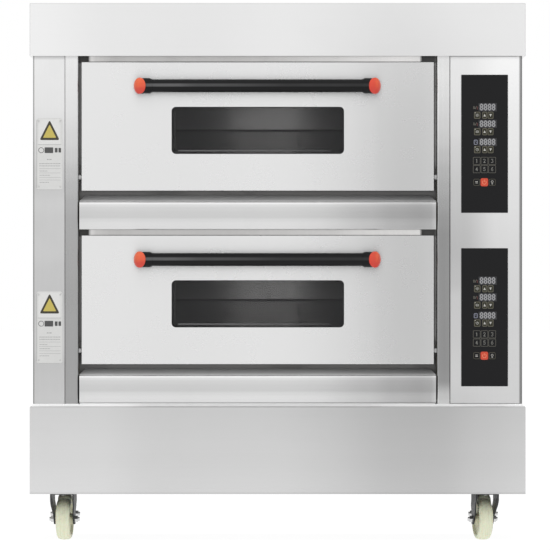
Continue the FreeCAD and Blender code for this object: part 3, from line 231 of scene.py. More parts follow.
def moulded(name, colour, rough, spec=0.35, grit=700, mottle=0.12, bump=0.12, wear=None, coat=0.0, subsurface=0.0):
    """Moulded or painted surface: fine texture, faint colour drift, duller and shinier patches."""
    t = Tree(name)
    cloud = t.noise(t.here(), 18, 4.0, 0.55)
    skin = t.noise(t.here(), grit, 2.0, 0.6)
    shade = t.math("MULTIPLY", t.span(cloud, 0.3, 0.7, 1.0 - mottle, 1.0), t.span(skin, 0.3, 0.7, 0.95, 1.0))
    base = t.blend(shade, (0.0, 0.0, 0.0), colour)
    if wear is not None:
        base = t.blend(t.span(t.noise(t.here(), 60, 5.0, 0.7), 0.62, 0.7, 0.0, 0.6), base, wear)
    t.set(color=base, metal=0.0, spec=spec, rough=t.span(cloud, 0.3, 0.7, rough - 0.06, rough + 0.06),
          normal=t.bump(skin, bump, 0.0003), coat=coat, coat_rough=0.12)
    if subsurface:
        t.set(subsurface=subsurface, sub_scale=0.01)
    return t.material


def inked(name, colour, rough=0.45, glow=0.0, spec=0.3):
    """Printed or lit mark: slightly uneven ink."""
    t = Tree(name)
    ink = t.noise(t.here(), 900, 2.0, 0.6)
    base = t.blend(t.span(ink, 0.25, 0.75, 0.86, 1.0), (0.0, 0.0, 0.0), colour)
    t.set(color=base, rough=t.span(ink, 0.2, 0.8, rough - 0.05, rough + 0.05), spec=spec)
    if glow:
        t.set(emission=base, glow=glow)
    return t.material


# ---------------------------------------------------------------- mesh helpers

class Relief:
    """Thin closed prisms standing on a front-facing plane, gathered into one mesh. Points are (x, z) in millimetres."""

    def __init__(self, plane_mm, rise_mm, dz=0.0):
        self.bm = bmesh.new()
        self.back = plane_mm * MM
        self.front = (plane_mm - rise_mm) * MM
        self.dz = dz

    def _ring(self, points, y):
        return [self.bm.verts.new((x * MM, y, z * MM + self.dz)) for x, z in points]

    def shape(self, points):
        """A filled outline, given anticlockwise as seen from the front."""
        area = sum(a[0] * b[1] - b[0] * a[1] for a, b in zip(points, points[1:] + points[:1]))
        if area < 0:
            points = points[::-1]
        front, back = self._ring(points, self.front), self._ring(points, self.back)
        self.bm.faces.new(front)
        self.bm.faces.new(back[::-1])
        n = len(points)
        for i in range(n):
            j = (i + 1) % n
            self.bm.faces.new((front[j], front[i], back[i], back[j]))

    def ring(self, outer, inner):
        """The band between two outlines with the same number of points."""
        n = len(outer)
        of, ob = self._ring(outer, self.front), self._ring(outer, self.back)
        nf, nb = self._ring(inner, self.front), self._ring(inner, self.back)
        for i in range(n):
            j = (i + 1) % n
            self.bm.faces.new((of[i], of[j], nf[j], nf[i]))
            self.bm.faces.new((ob[j], ob[i], nb[i], nb[j]))
            self.bm.faces.new((of[j], of[i], ob[i], ob[j]))
            self.bm.faces.new((nf[i], nf[j], nb[j], nb[i]))

    def box(self, x0, x1, z0, z1, radius=0.0, steps=4):
        self.shape(rounded_outline(x0, x1, z0, z1, radius, steps))

    def frame(self, x0, x1, z0, z1, width, radius=0.0, steps=4):
        self.ring(rounded_outline(x0, x1, z0, z1, radius, steps),
                  rounded_outline(x0 + width, x1 - width, z0 + width, z1 - width, max(radius - width, 0.05), steps))

    def disc(self, x, z, r, steps=24):
        self.shape([(x + r * math.cos(2 * math.pi * i / steps), z + r * math.sin(2 * math.pi * i / steps))
                    for i in range(steps)])

    def hoop(self, x, z, r, width, start=0.0, sweep=360.0, steps=28):
        if sweep >= 360.0:
            angles = [2 * math.pi * i / steps for i in range(steps)]
            self.ring([(x + r * math.cos(a), z + r * math.sin(a)) for a in angles],
                      [(x + (r - width) * math.cos(a), z + (r - width) * math.sin(a)) for a in angles])
            return
        angles = [math.radians(start + sweep * i / steps) for i in range(steps + 1)]
        for a, b in zip(angles, angles[1:]):
            self.shape([(x + r * math.cos(a), z + r * math.sin(a)), (x + r * math.cos(b), z + r * math.sin(b)),
                        (x + (r - width) * math.cos(b), z + (r - width) * math.sin(b)),
                        (x + (r - width) * math.cos(a), z + (r - width) * math.sin(a))])

    def stroke(self, points, width):
        for (x0, z0), (x1, z1) in zip(points, points[1:]):
            length = math.hypot(x1 - x0, z1 - z0)
            ux, uz = (x1 - x0) / length, (z1 - z0) / length
            px, pz = -uz * width / 2, ux * width / 2
            ex, ez = ux * width * 0.3, uz * width * 0.3
            self.shape([(x0 - ex + px, z0 - ez + pz), (x0 - ex - px, z0 - ez - pz),
                        (x1 + ex - px, z1 + ez - pz), (x1 + ex + px, z1 + ez + pz)])

    def piece(self, name, material, body, slot_name):
        bmesh.ops.recalc_face_normals(self.bm, faces=self.bm.faces[:])
        mesh = bpy.data.meshes.new(name)
        self.bm.to_mesh(mesh)
        self.bm.free()
        return add_piece(name, mesh, material, body)


def rounded_outline(x0, x1, z0, z1, radius, steps=4):
    radius = max(min(radius, (x1 - x0) / 2 - 0.01, (z1 - z0) / 2 - 0.01), 0.0)
    if radius < 0.04:
        if steps <= 0 or radius == 0.0:
            return [(x1, z0), (x1, z1), (x0, z1), (x0, z0)]
    out = []
    for cx, cz, start in ((x1 - radius, z0 + radius, -90), (x1 - radius, z1 - radius, 0),
                          (x0 + radius, z1 - radius, 90), (x0 + radius, z0 + radius, 180)):
        for i in range(steps + 1):
            a = math.radians(start + 90.0 * i / steps)
            out.append((cx + radius * math.cos(a), cz + radius * math.sin(a)))
    return out


def add_piece(name, mesh, material, body, smooth=False):
    mesh.materials.append(material)
    if smooth:
        mesh.shade_smooth()
    piece = bpy.data.objects.new(name, mesh)
    scene.collection.objects.link(piece)
    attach(piece, body)
    return piece


# ---------------------------------------------------------------- materials

# painted reflection: the X tones darken the door face from about x=180 mm to the right, standing in for a darker part
# of the studio reflected there
steel_door = brushed_steel("door_steel", (0.745, 0.745, 0.745), 0.27, aniso=0.6, fine=0.012, streak=0.005, mottle=0.012,
                           smudge=0.015, bump=0.004, drift=0.004,
                           tones=[("X", [(-484, 1.0), (180, 1.0), (225, 0.975), (260, 0.93), (300, 0.91), (350, 0.905), (378, 0.92), (386, 0.95)])])
# painted reflection: the X tones make the hood face lighter and darker across its width
steel_hood = brushed_steel("hood_steel", (0.815, 0.815, 0.815), 0.30, aniso=0.5, fine=0.015, streak=0.008, mottle=0.012,
                           smudge=0.02, bump=0.015, drift=0.01,
                           tones=[("X", [(-610, 1.0), (-400, 0.93), (-200, 0.92), (20, 0.95), (300, 0.92), (480, 0.96), (610, 0.96)])])
# painted shade and painted highlight: the Z tones darken the plinth face below its top edge and keep the top chamfer
# light; the X tones are a painted reflection, darker towards the right
steel_plinth = brushed_steel("plinth_steel", (0.96, 0.96, 0.96), 0.30, aniso=0.5, fine=0.02, streak=0.012, mottle=0.02,
                             smudge=0.03, bump=0.02, drift=0.01,
                             tones=[("Z", [(114, 0.62), (117, 0.65), (120, 0.72), (215, 0.685), (325, 0.648), (329, 0.66), (331, 0.98), (336, 1.0)]),
                                    ("X", [(-610, 1.0), (-450, 1.0), (-300, 0.94), (0, 0.94), (120, 0.92), (300, 0.87), (400, 0.86),
                                           (500, 0.92), (610, 0.95)])],
                             metal_tones=("Z", [(114, 1.0), (328, 1.0), (330.5, 0.45), (336, 0.45)]))
# painted reflection and painted shade: the Z tones lighten the column towards the top, with a painted shadow under the
# hood from 1182 mm up; the X tone, held to the front face by the Y tone, is painted shade along the outer edge
steel_left = brushed_steel("left_column_steel", (0.80, 0.80, 0.80), 0.32, upright=True, aniso=0.5, fine=0.03,
                           streak=0.02, mottle=0.03, bump=0.03,
                           tones=[("Z", [(336, 0.73), (395, 0.70), (434, 0.68), (480, 0.75), (600, 0.70), (660, 0.71), (710, 0.75), (788, 0.74),
                                         (828, 0.77), (867, 0.72), (906, 0.76), (946, 0.82), (1000, 0.89), (1080, 0.97), (1182, 1.0),
                                         (1187, 0.80), (1192, 0.60)]),
                                  ("X", [(-603, 0.52), (-600, 0.54), (-597.6, 1.0), (-520, 1.0)], ("Y", [(-378, 1.0), (-373, 1.0), (-370, 0.0), (440, 0.0)]))])
# painted reflection and painted shade on the control column: RIGHT_TONES lighten it towards the top, with a painted
# shadow under the hood; the second Z tone, held to the strips beside the panel by the X tone, is a painted darker
# reflection band from about 640 to 870 mm; the last X tone is painted shade along the outer edge
RIGHT_TONES = [(336, 0.74), (500, 0.76), (700, 0.80), (850, 0.87), (1000, 0.93), (1184, 1.0), (1188, 0.85), (1192, 0.72)]
steel_right = brushed_steel("right_column_steel", (0.92, 0.92, 0.92), 0.32, upright=True, aniso=0.5, fine=0.02,
                            streak=0.012, mottle=0.02, bump=0.03,
                            tones=[("Z", RIGHT_TONES),
                                   ("Z", [(336, 0.95), (395, 1.0), (513, 0.94), (592, 0.91), (640, 0.80), (710, 0.745), (788, 0.76),
                                          (867, 0.79), (950, 0.83), (1020, 0.90), (1100, 0.92), (1192, 0.89)],
                                    ("X", [(424, 1.0), (455, 1.0), (545, 0.0), (600, 0.0)])),
                                   ("X", [(424, 1.0), (593.6, 1.0), (596.0, 0.50), (599, 0.42)])])
# painted shade: the Y tone darkens the front edge of the side panel into a dark line
steel_right_side = brushed_steel("right_side_steel", (0.72, 0.72, 0.72), 0.30, upright=True, aniso=0.5, fine=0.04,
                                 streak=0.03, mottle=0.04, bump=0.03,
                                 tones=[("Y", [(-376, 0.34), (-373, 0.40), (-368, 1.0), (420, 1.0)])])
# painted reflection and painted shade: the Z tones make both door posts dark low down and light towards the top, with a
# painted shadow under the hood; the right post is also light at its foot
steel_post_left = brushed_steel("left_post_steel", (0.80, 0.80, 0.80), 0.24, upright=True, aniso=0.5, fine=0.03, bump=0.03,
                                tones=[("Z", [(336, 0.465), (469, 0.465), (592, 0.47), (710, 0.505), (788, 0.515), (828, 0.55), (867, 0.61),
                                              (906, 0.68), (946, 0.765), (985, 0.83), (1064, 0.94), (1143, 0.97), (1182, 1.0), (1192, 0.80)])])
steel_post_right = brushed_steel("right_post_steel", (0.855, 0.855, 0.855), 0.24, upright=True, aniso=0.5, fine=0.03, bump=0.03,
                                 tones=[("Z", [(336, 0.80), (355, 0.73), (395, 0.42), (434, 0.40), (592, 0.415), (749, 0.415), (788, 0.455),
                                               (828, 0.515), (867, 0.58), (907, 0.65), (946, 0.73), (985, 0.82), (1025, 0.88),
                                               (1064, 0.93), (1103, 0.98), (1143, 1.0), (1182, 0.94), (1192, 0.80)])])
steel_side = brushed_steel("side_steel", (0.70, 0.70, 0.70), 0.30, upright=True, aniso=0.5, fine=0.05, streak=0.04, mottle=0.05)
steel_frame = moulded("frame_paint", (0.10, 0.105, 0.11), 0.5, spec=0.4, wear=(0.22, 0.21, 0.2))


def fascia_steel(deck, z0):
    """The slope behind the lip is duller (less metallic) than the polished face in front of it. The colour tones are
    painted light: a painted highlight on the lip, painted shade on the face below it and on the slope under the door,
    and a painted reflection darker towards the right.
    """
    return brushed_steel(deck + "_fascia_steel", (0.88, 0.88, 0.88), 0.22, aniso=0.45, drift=0.01, fine=0.02, streak=0.010, mottle=0.02,
                         bump=0.03,
                         tones=[("X", [(-488, 0.97), (-420, 1.0), (100, 1.0), (220, 0.90), (290, 0.80), (350, 0.74), (376, 0.77), (390, 0.93)]),
                                ("Z", [(z0 - 1, 0.81), (z0 + 14, 0.81), (z0 + 22, 0.77), (z0 + 30, 0.68), (z0 + 40, 0.69), (z0 + 52, 0.73),
                                       (z0 + 59, 0.81), (z0 + 63, 0.97), (z0 + 67, 1.0), (z0 + 70, 0.86), (z0 + 73, 0.66), (z0 + 84, 0.64)])],
                         metal_tones=("Y", [(-386, 1.0), (-383, 1.0), (-379, 0.35), (-323, 0.35)]))


def liner_steel(deck, z0):
    """Header strip polished, with painted highlight and painted shade along it; the frame round the opening and the
    chamber behind it darkened as painted shade, deepest on the frame face, with a painted light strip in the right-hand
    gap; the chamber darker again towards the bottom.
    """
    return brushed_steel(deck + "_liner_steel", (0.84, 0.83, 0.82), 0.36, upright=True, aniso=0.5, fine=0.06, streak=0.07,
                         mottle=0.07, smudge=0.08,
                         tones=[("Y", [(-372, 1.0), (-366, 1.0), (-358, 0.55), (-343, 0.60), (-338, 0.52), (-318, 0.62), (336, 0.62)],
                                 ("Z", [(z0 + 64, 1.0), (z0 + 402, 1.0), (z0 + 411, 0.0), (z0 + 426, 0.0)])),
                                ("X", [(-489, 0.42), (384, 0.42), (387.0, 0.48), (389.3, 1.0), (391, 1.0)],
                                 ("Y", [(-372, 0.0), (-350, 0.0), (-346, 1.0), (-342, 1.0), (-336, 0.0), (336, 0.0)])),
                                ("Z", [(z0 + 64, 0.32), (z0 + 86, 0.34), (z0 + 100, 0.30), (z0 + 148, 0.60), (z0 + 170, 1.0), (z0 + 426, 1.0)]),
                                ("X", [(-489, 0.20), (-466, 0.22), (-463, 0.62), (-457, 0.85), (-448, 0.72), (-400, 0.64), (-260, 0.66), (-120, 0.66),
                                       (0, 0.74), (120, 0.84), (220, 0.95), (300, 1.0), (350, 1.0), (353, 0.30), (391, 0.26)],
                                 ("Z", [(z0 + 64, 0.0), (z0 + 405, 0.0), (z0 + 411, 1.0), (z0 + 426, 1.0)]))])


steel_inner = brushed_steel("door_inner_steel", (0.56, 0.55, 0.54), 0.36, upright=True, aniso=0.5, fine=0.08, streak=0.10,
                            mottle=0.12, smudge=0.12)
hearth_metal = plain_metal("hearth_steel", (0.17, 0.16, 0.15), 0.55, mottle=0.3, speck=160, bump=0.25, metal=0.7)
element_metal = plain_metal("element_sheath", (0.24, 0.22, 0.21), 0.5, mottle=0.35, speck=300, bump=0.2,
                            dust=(0.30, 0.22, 0.17))
bright_metal = plain_metal("bright_steel", (0.72, 0.72, 0.72), 0.18, mottle=0.06, speck=500, bump=0.04)
screw_metal = plain_metal("screw_steel", (0.62, 0.62, 0.61), 0.28, mottle=0.12, speck=600, bump=0.06)
pin_metal = plain_metal("hinge_pin_steel", (0.50, 0.50, 0.50), 0.34, mottle=0.14, speck=600, bump=0.06)
zinc_metal = plain_metal("zinc_plate", (0.60, 0.60, 0.58), 0.36, mottle=0.22, speck=120, bump=0.1)
vent_metal = plain_metal("vent_tube_steel", (0.68, 0.67, 0.65), 0.3, mottle=0.14, speck=260, bump=0.08)
plate_metal = plain_metal("plate_aluminium", (0.70, 0.70, 0.69), 0.42, mottle=0.06, speck=500, bump=0.06, metal=0.85)
fork_paint = moulded("fork_paint", (0.022, 0.023, 0.025), 0.42, spec=0.45, grit=380, mottle=0.2, bump=0.15,
                     wear=(0.07, 0.07, 0.07))


def handle_black(deck, axis_z):
    """Black paint with a painted highlight: a lighter band just above the middle of the grip, strongest towards the
    left.
    """
    t = Tree(deck + "_handle_black")
    cloud = t.noise(t.here(), 18, 4.0, 0.55)
    skin = t.noise(t.here(), 520, 2.0, 0.6)
    # painted highlight: a band along the grip, faded out towards the right
    band = t.along_axis("Z", [(axis_z - 20, 0.0), (axis_z - 3.8, 0.0), (axis_z - 0.4, 1.0), (axis_z + 3.4, 0.95), (axis_z + 7.2, 0.0),
                              (axis_z + 20, 0.0)])
    reach = t.along_axis("X", [(-360, 0.8), (-270, 1.0), (-190, 0.58), (60, 0.24), (250, 0.18)])
    painted_sheen = t.math("MULTIPLY", t.math("MULTIPLY", band, reach), t.span(cloud, 0.3, 0.7, 0.75, 1.0))
    base = t.blend(painted_sheen, (0.0065, 0.0065, 0.0070), (0.115, 0.115, 0.117))
    t.set(color=base, metal=0.0, spec=0.16, rough=t.span(cloud, 0.3, 0.7, 0.34, 0.46), normal=t.bump(skin, 0.08, 0.0003))
    return t.material


def cap_orange(deck, axis_z):
    """Moulded cap with painted light: lighter orange above and to the left, darker red below as painted shade, and a
    painted highlight just right of centre on the right-hand cap.
    """
    t = Tree(deck + "_cap_orange")
    cloud = t.noise(t.here(), 18, 4.0, 0.55)
    skin = t.noise(t.here(), 420, 2.0, 0.6)
    # painted light and painted shade: lighter towards the top and the left, with a painted highlight at x=245 mm
    upper = t.along_axis("Z", [(axis_z - 20, 0.0), (axis_z - 9, 0.15), (axis_z + 2, 0.8), (axis_z + 12, 1.0), (axis_z + 20, 1.0)])
    across = t.along_axis("X", [(-370, 1.0), (-345, 1.0), (-330, 0.65), (-318, 0.5), (0, 0.3), (225, 0.15), (238, 0.22), (245, 0.75), (252, 0.3),
                                (266, 0.3)])
    base = t.blend(t.math("MULTIPLY", upper, across), (0.62, 0.038, 0.020), (0.80, 0.140, 0.050))
    base = t.blend(t.span(cloud, 0.3, 0.7, 0.08, 0.0), base, (0.30, 0.02, 0.01))
    t.set(color=base, metal=0.0, spec=0.4, rough=t.span(cloud, 0.3, 0.7, 0.26, 0.36), normal=t.bump(skin, 0.06, 0.0003),
          coat=0.15, coat_rough=0.12, subsurface=0.03, sub_scale=0.01)
    return t.material


panel_plastic = moulded("panel_black", (0.0105, 0.0105, 0.0115), 0.5, spec=0.15, grit=1400, mottle=0.12, bump=0.05)
window_black = moulded("window_frame_black", (0.012, 0.012, 0.013), 0.5, spec=0.22, grit=600, bump=0.08)
board_green = moulded("board_green", (0.02, 0.14, 0.06), 0.45, grit=300)
contactor_grey = moulded("contactor_grey", (0.42, 0.42, 0.40), 0.5, grit=400)
gland_black = moulded("gland_black", (0.02, 0.02, 0.02), 0.5, spec=0.35, grit=380)
wool_mat = moulded("mineral_wool", (0.72, 0.66, 0.48), 0.95, spec=0.1, grit=90, mottle=0.35, bump=0.9)


def window_glass():
    """Dark, thin window glass: mostly clear, with a weak reflection and faint smears."""
    t = Tree("window_glass")
    smear = t.noise(t.scaled(t.here(), (18, 18, 9)), 1.0, 4.0, 0.6)
    dust = t.noise(t.here(), 420, 3.0, 0.6)
    t.set(color=t.blend(t.span(dust, 0.3, 0.8, 0.2, 1.0), (0.006, 0.006, 0.007), (0.016, 0.016, 0.017)),
          rough=t.span(smear, 0.35, 0.7, 0.03, 0.12), alpha=t.span(smear, 0.3, 0.8, 0.33, 0.37), ior=1.45, spec=0.5,
          normal=t.bump(smear, 0.02, 0.0004))
    return t.material


glass_mat = window_glass()


def lamp_glass():
    t = Tree("lamp_glass")
    frost = t.noise(t.here(), 260, 3.0, 0.6)
    t.set(color=t.blend(t.span(frost, 0.3, 0.7, 0.85, 1.0), (0.0, 0.0, 0.0), (0.86, 0.83, 0.74)),
          rough=t.span(frost, 0.3, 0.7, 0.18, 0.3), spec=0.5, normal=t.bump(frost, 0.1, 0.0004),
          subsurface=0.1, sub_scale=0.01)
    return t.material


lamp_mat = lamp_glass()


def nylon_wheel(name, node):
    """Cast nylon tread: pale yellow-green with dirty scuffed streaks round it, and greyer sides."""
    low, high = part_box(node)
    centre = (low + high) / 2
    t = Tree(name)
    x, y, z = t.split(t.here())
    dx, dy, dz = t.math("SUBTRACT", x, centre.x), t.math("SUBTRACT", y, centre.y), t.math("SUBTRACT", z, centre.z)
    angle = t.math("ARCTAN2", dy, dz)
    turn = t.join(t.math("MULTIPLY", dx, 1.0), t.math("MULTIPLY", angle, 0.012), 0.0)
    streaks = t.noise(t.scaled(turn, (520, 90, 1)), 1.0, 4.0, 0.7)
    scuffs = t.noise(t.scaled(t.join(dx, t.math("MULTIPLY", angle, 0.05), 0.0), (160, 130, 1), (4.0, 2.0, 0)), 1.0, 5.0, 0.7)
    pits = t.noise(t.here(), 900, 2.0, 0.6)
    base = t.ramp(streaks, [(0.30, (0.58, 0.58, 0.42)), (0.45, (0.72, 0.74, 0.54)), (0.60, (0.78, 0.80, 0.62)),
                            (0.75, (0.70, 0.70, 0.58))])
    grime = t.math("MULTIPLY", t.span(scuffs, 0.48, 0.66, 0.0, 1.0), t.span(dz, -0.01, 0.045, 0.25, 1.0))
    base = t.blend(t.math("MULTIPLY", grime, 0.45), base, (0.34, 0.31, 0.24))
    radius = t.math("SQRT", t.math("ADD", t.math("MULTIPLY", dy, dy), t.math("MULTIPLY", dz, dz)))
    base = t.blend(t.span(radius, 0.040, 0.047, 0.45, 0.0), base, (0.34, 0.31, 0.18))
    t.set(color=base, rough=t.span(scuffs, 0.3, 0.7, 0.38, 0.6), spec=0.4, normal=t.bump(scuffs, 0.25, 0.0006),
          subsurface=0.08, sub_scale=0.012)
    return t.material


FINISH = {
    "top_hood": steel_hood, "base_plinth": steel_plinth, "base_frame": steel_frame, "left_side_panel": steel_left,
    "right_side_panel": steel_right_side, "back_panel": steel_side, "left_door_post": steel_post_left,
    "right_door_post": steel_post_right, "control_column_panel": steel_right, "chamber_insulation": wool_mat,
    "door_hinge_pins": pin_metal, "chamber_lamps": lamp_mat, "temperature_probes": bright_metal,
    "steam_vent_pipes": vent_metal, "control_boards": board_green, "contactors": contactor_grey,
    "rating_plates": plate_metal, "screws_and_rivets": screw_metal, "cable_gland": gland_black, "caster_plates": zinc_metal,
}
for deck, z0 in (("upper", 766), ("lower", 339)):
    handle_paint = handle_black(deck, z0 + 352)
    FINISH.update({
        deck + "_control_panel": panel_plastic, deck + "_sill_fascia": fascia_steel(deck, z0),
        deck + "_chamber_liner": liner_steel(deck, z0),
        deck + "_hearth_plate": hearth_metal, deck + "_heating_elements": element_metal,
        deck + "_door_outer_skin": steel_door, deck + "_door_inner_skin": steel_inner, deck + "_door_insulation": wool_mat,
        deck + "_door_window_frame": window_black, deck + "_door_outer_glass": glass_mat,
        deck + "_door_inner_glass": glass_mat, deck + "_door_handle_tube": handle_paint,
        deck + "_door_handle_brackets": handle_paint, deck + "_door_handle_caps": cap_orange(deck, z0 + 352),
    })
for corner in ("front_left", "front_right", "rear_left", "rear_right"):
    FINISH["caster_%s_fork" % corner] = fork_paint
    FINISH["caster_%s_axle" % corner] = bright_metal
    FINISH["caster_%s_wheel" % corner] = nylon_wheel("nylon_" + corner, "caster_%s_wheel" % corner)

for node, ob in NODES.items():
    ob.data.materials.clear()
    ob.data.materials.append(FINISH[node])


# ---------------------------------------------------------------- printed and lit parts of the control panels

ink_display = inked("display_segments", (0.30, 0.30, 0.31), 0.4, glow=0.06)
ink_unlit = inked("display_unlit", (0.030, 0.030, 0.033), 0.35)
ink_red = inked("lamp_red", (0.085, 0.030, 0.028), 0.4, glow=0.05)
ink_face = inked("key_face", (0.030, 0.030, 0.020), 0.5, spec=0.15)
ink_number = inked("key_digit", (0.24, 0.24, 0.22), 0.5)
ink_icon = inked("icon_grey_blue", (0.20, 0.21, 0.26), 0.45)
ink_olive = inked("key_outline", (0.115, 0.108, 0.078), 0.5)
ink_white = inked("key_symbol", (0.50, 0.49, 0.46), 0.45)
ink_dim = inked("key_number", (0.16, 0.155, 0.13), 0.5)
key_red = moulded("power_key_red", (0.60, 0.070, 0.034), 0.42, spec=0.3, grit=900, mottle=0.1, bump=0.05)
ink_ring = inked("power_key_mark", (0.78, 0.24, 0.14), 0.45)

SEGMENTS = {"a": ((0, 1), (1, 1)), "b": ((1, 0.5), (1, 1)), "c": ((1, 0), (1, 0.5)), "d": ((0, 0), (1, 0)),
            "e": ((0, 0), (0, 0.5)), "f": ((0, 0.5), (0, 1)), "g": ((0, 0.5), (1, 0.5))}


def seven_segment(relief, x, z, w, h, thick, which):
    """One digit of bars with pointed ends; x, z is its lower left corner."""
    inset = thick / 2
    for name in which:
        (ax, az), (bx, bz) = SEGMENTS[name]
        x0, z0 = x + inset + ax * (w - thick), z + inset + az * (h - thick)
        x1, z1 = x + inset + bx * (w - thick), z + inset + bz * (h - thick)
        gap = 0.12
        if z0 == z1:
            x0, x1 = x0 + gap, x1 - gap
            t2 = thick / 2
            relief.shape([(x0, z0), (x0 + t2, z0 - t2), (x1 - t2, z0 - t2), (x1, z0), (x1 - t2, z0 + t2), (x0 + t2, z0 + t2)])
        else:
            z0, z1 = z0 + gap, z1 - gap
            t2 = thick / 2
            relief.shape([(x0, z0), (x0 + t2, z0 + t2), (x0 + t2, z1 - t2), (x0, z1), (x0 - t2, z1 - t2), (x0 - t2, z0 + t2)])


DIGITS = {
    "1": [[(0.25, 0.8), (0.55, 1.0), (0.55, 0.0)]],
    "2": [[(0.05, 0.8), (0.2, 0.97), (0.6, 1.0), (0.9, 0.82), (0.85, 0.55), (0.05, 0.02), (0.95, 0.02)]],
    "3": [[(0.08, 0.92), (0.5, 1.0), (0.88, 0.85), (0.8, 0.6), (0.45, 0.53)], [(0.45, 0.53), (0.9, 0.42), (0.9, 0.15), (0.5, 0.0), (0.05, 0.1)]],
    "4": [[(0.7, 0.0), (0.7, 1.0), (0.05, 0.3), (0.98, 0.3)]],
    "5": [[(0.88, 0.98), (0.18, 0.98), (0.12, 0.55), (0.5, 0.64), (0.88, 0.5), (0.9, 0.2), (0.5, 0.0), (0.06, 0.1)]],
    "6": [[(0.8, 0.98), (0.4, 0.85), (0.12, 0.45), (0.15, 0.12), (0.5, 0.0), (0.88, 0.14), (0.88, 0.42), (0.5, 0.56), (0.16, 0.4)]],
}

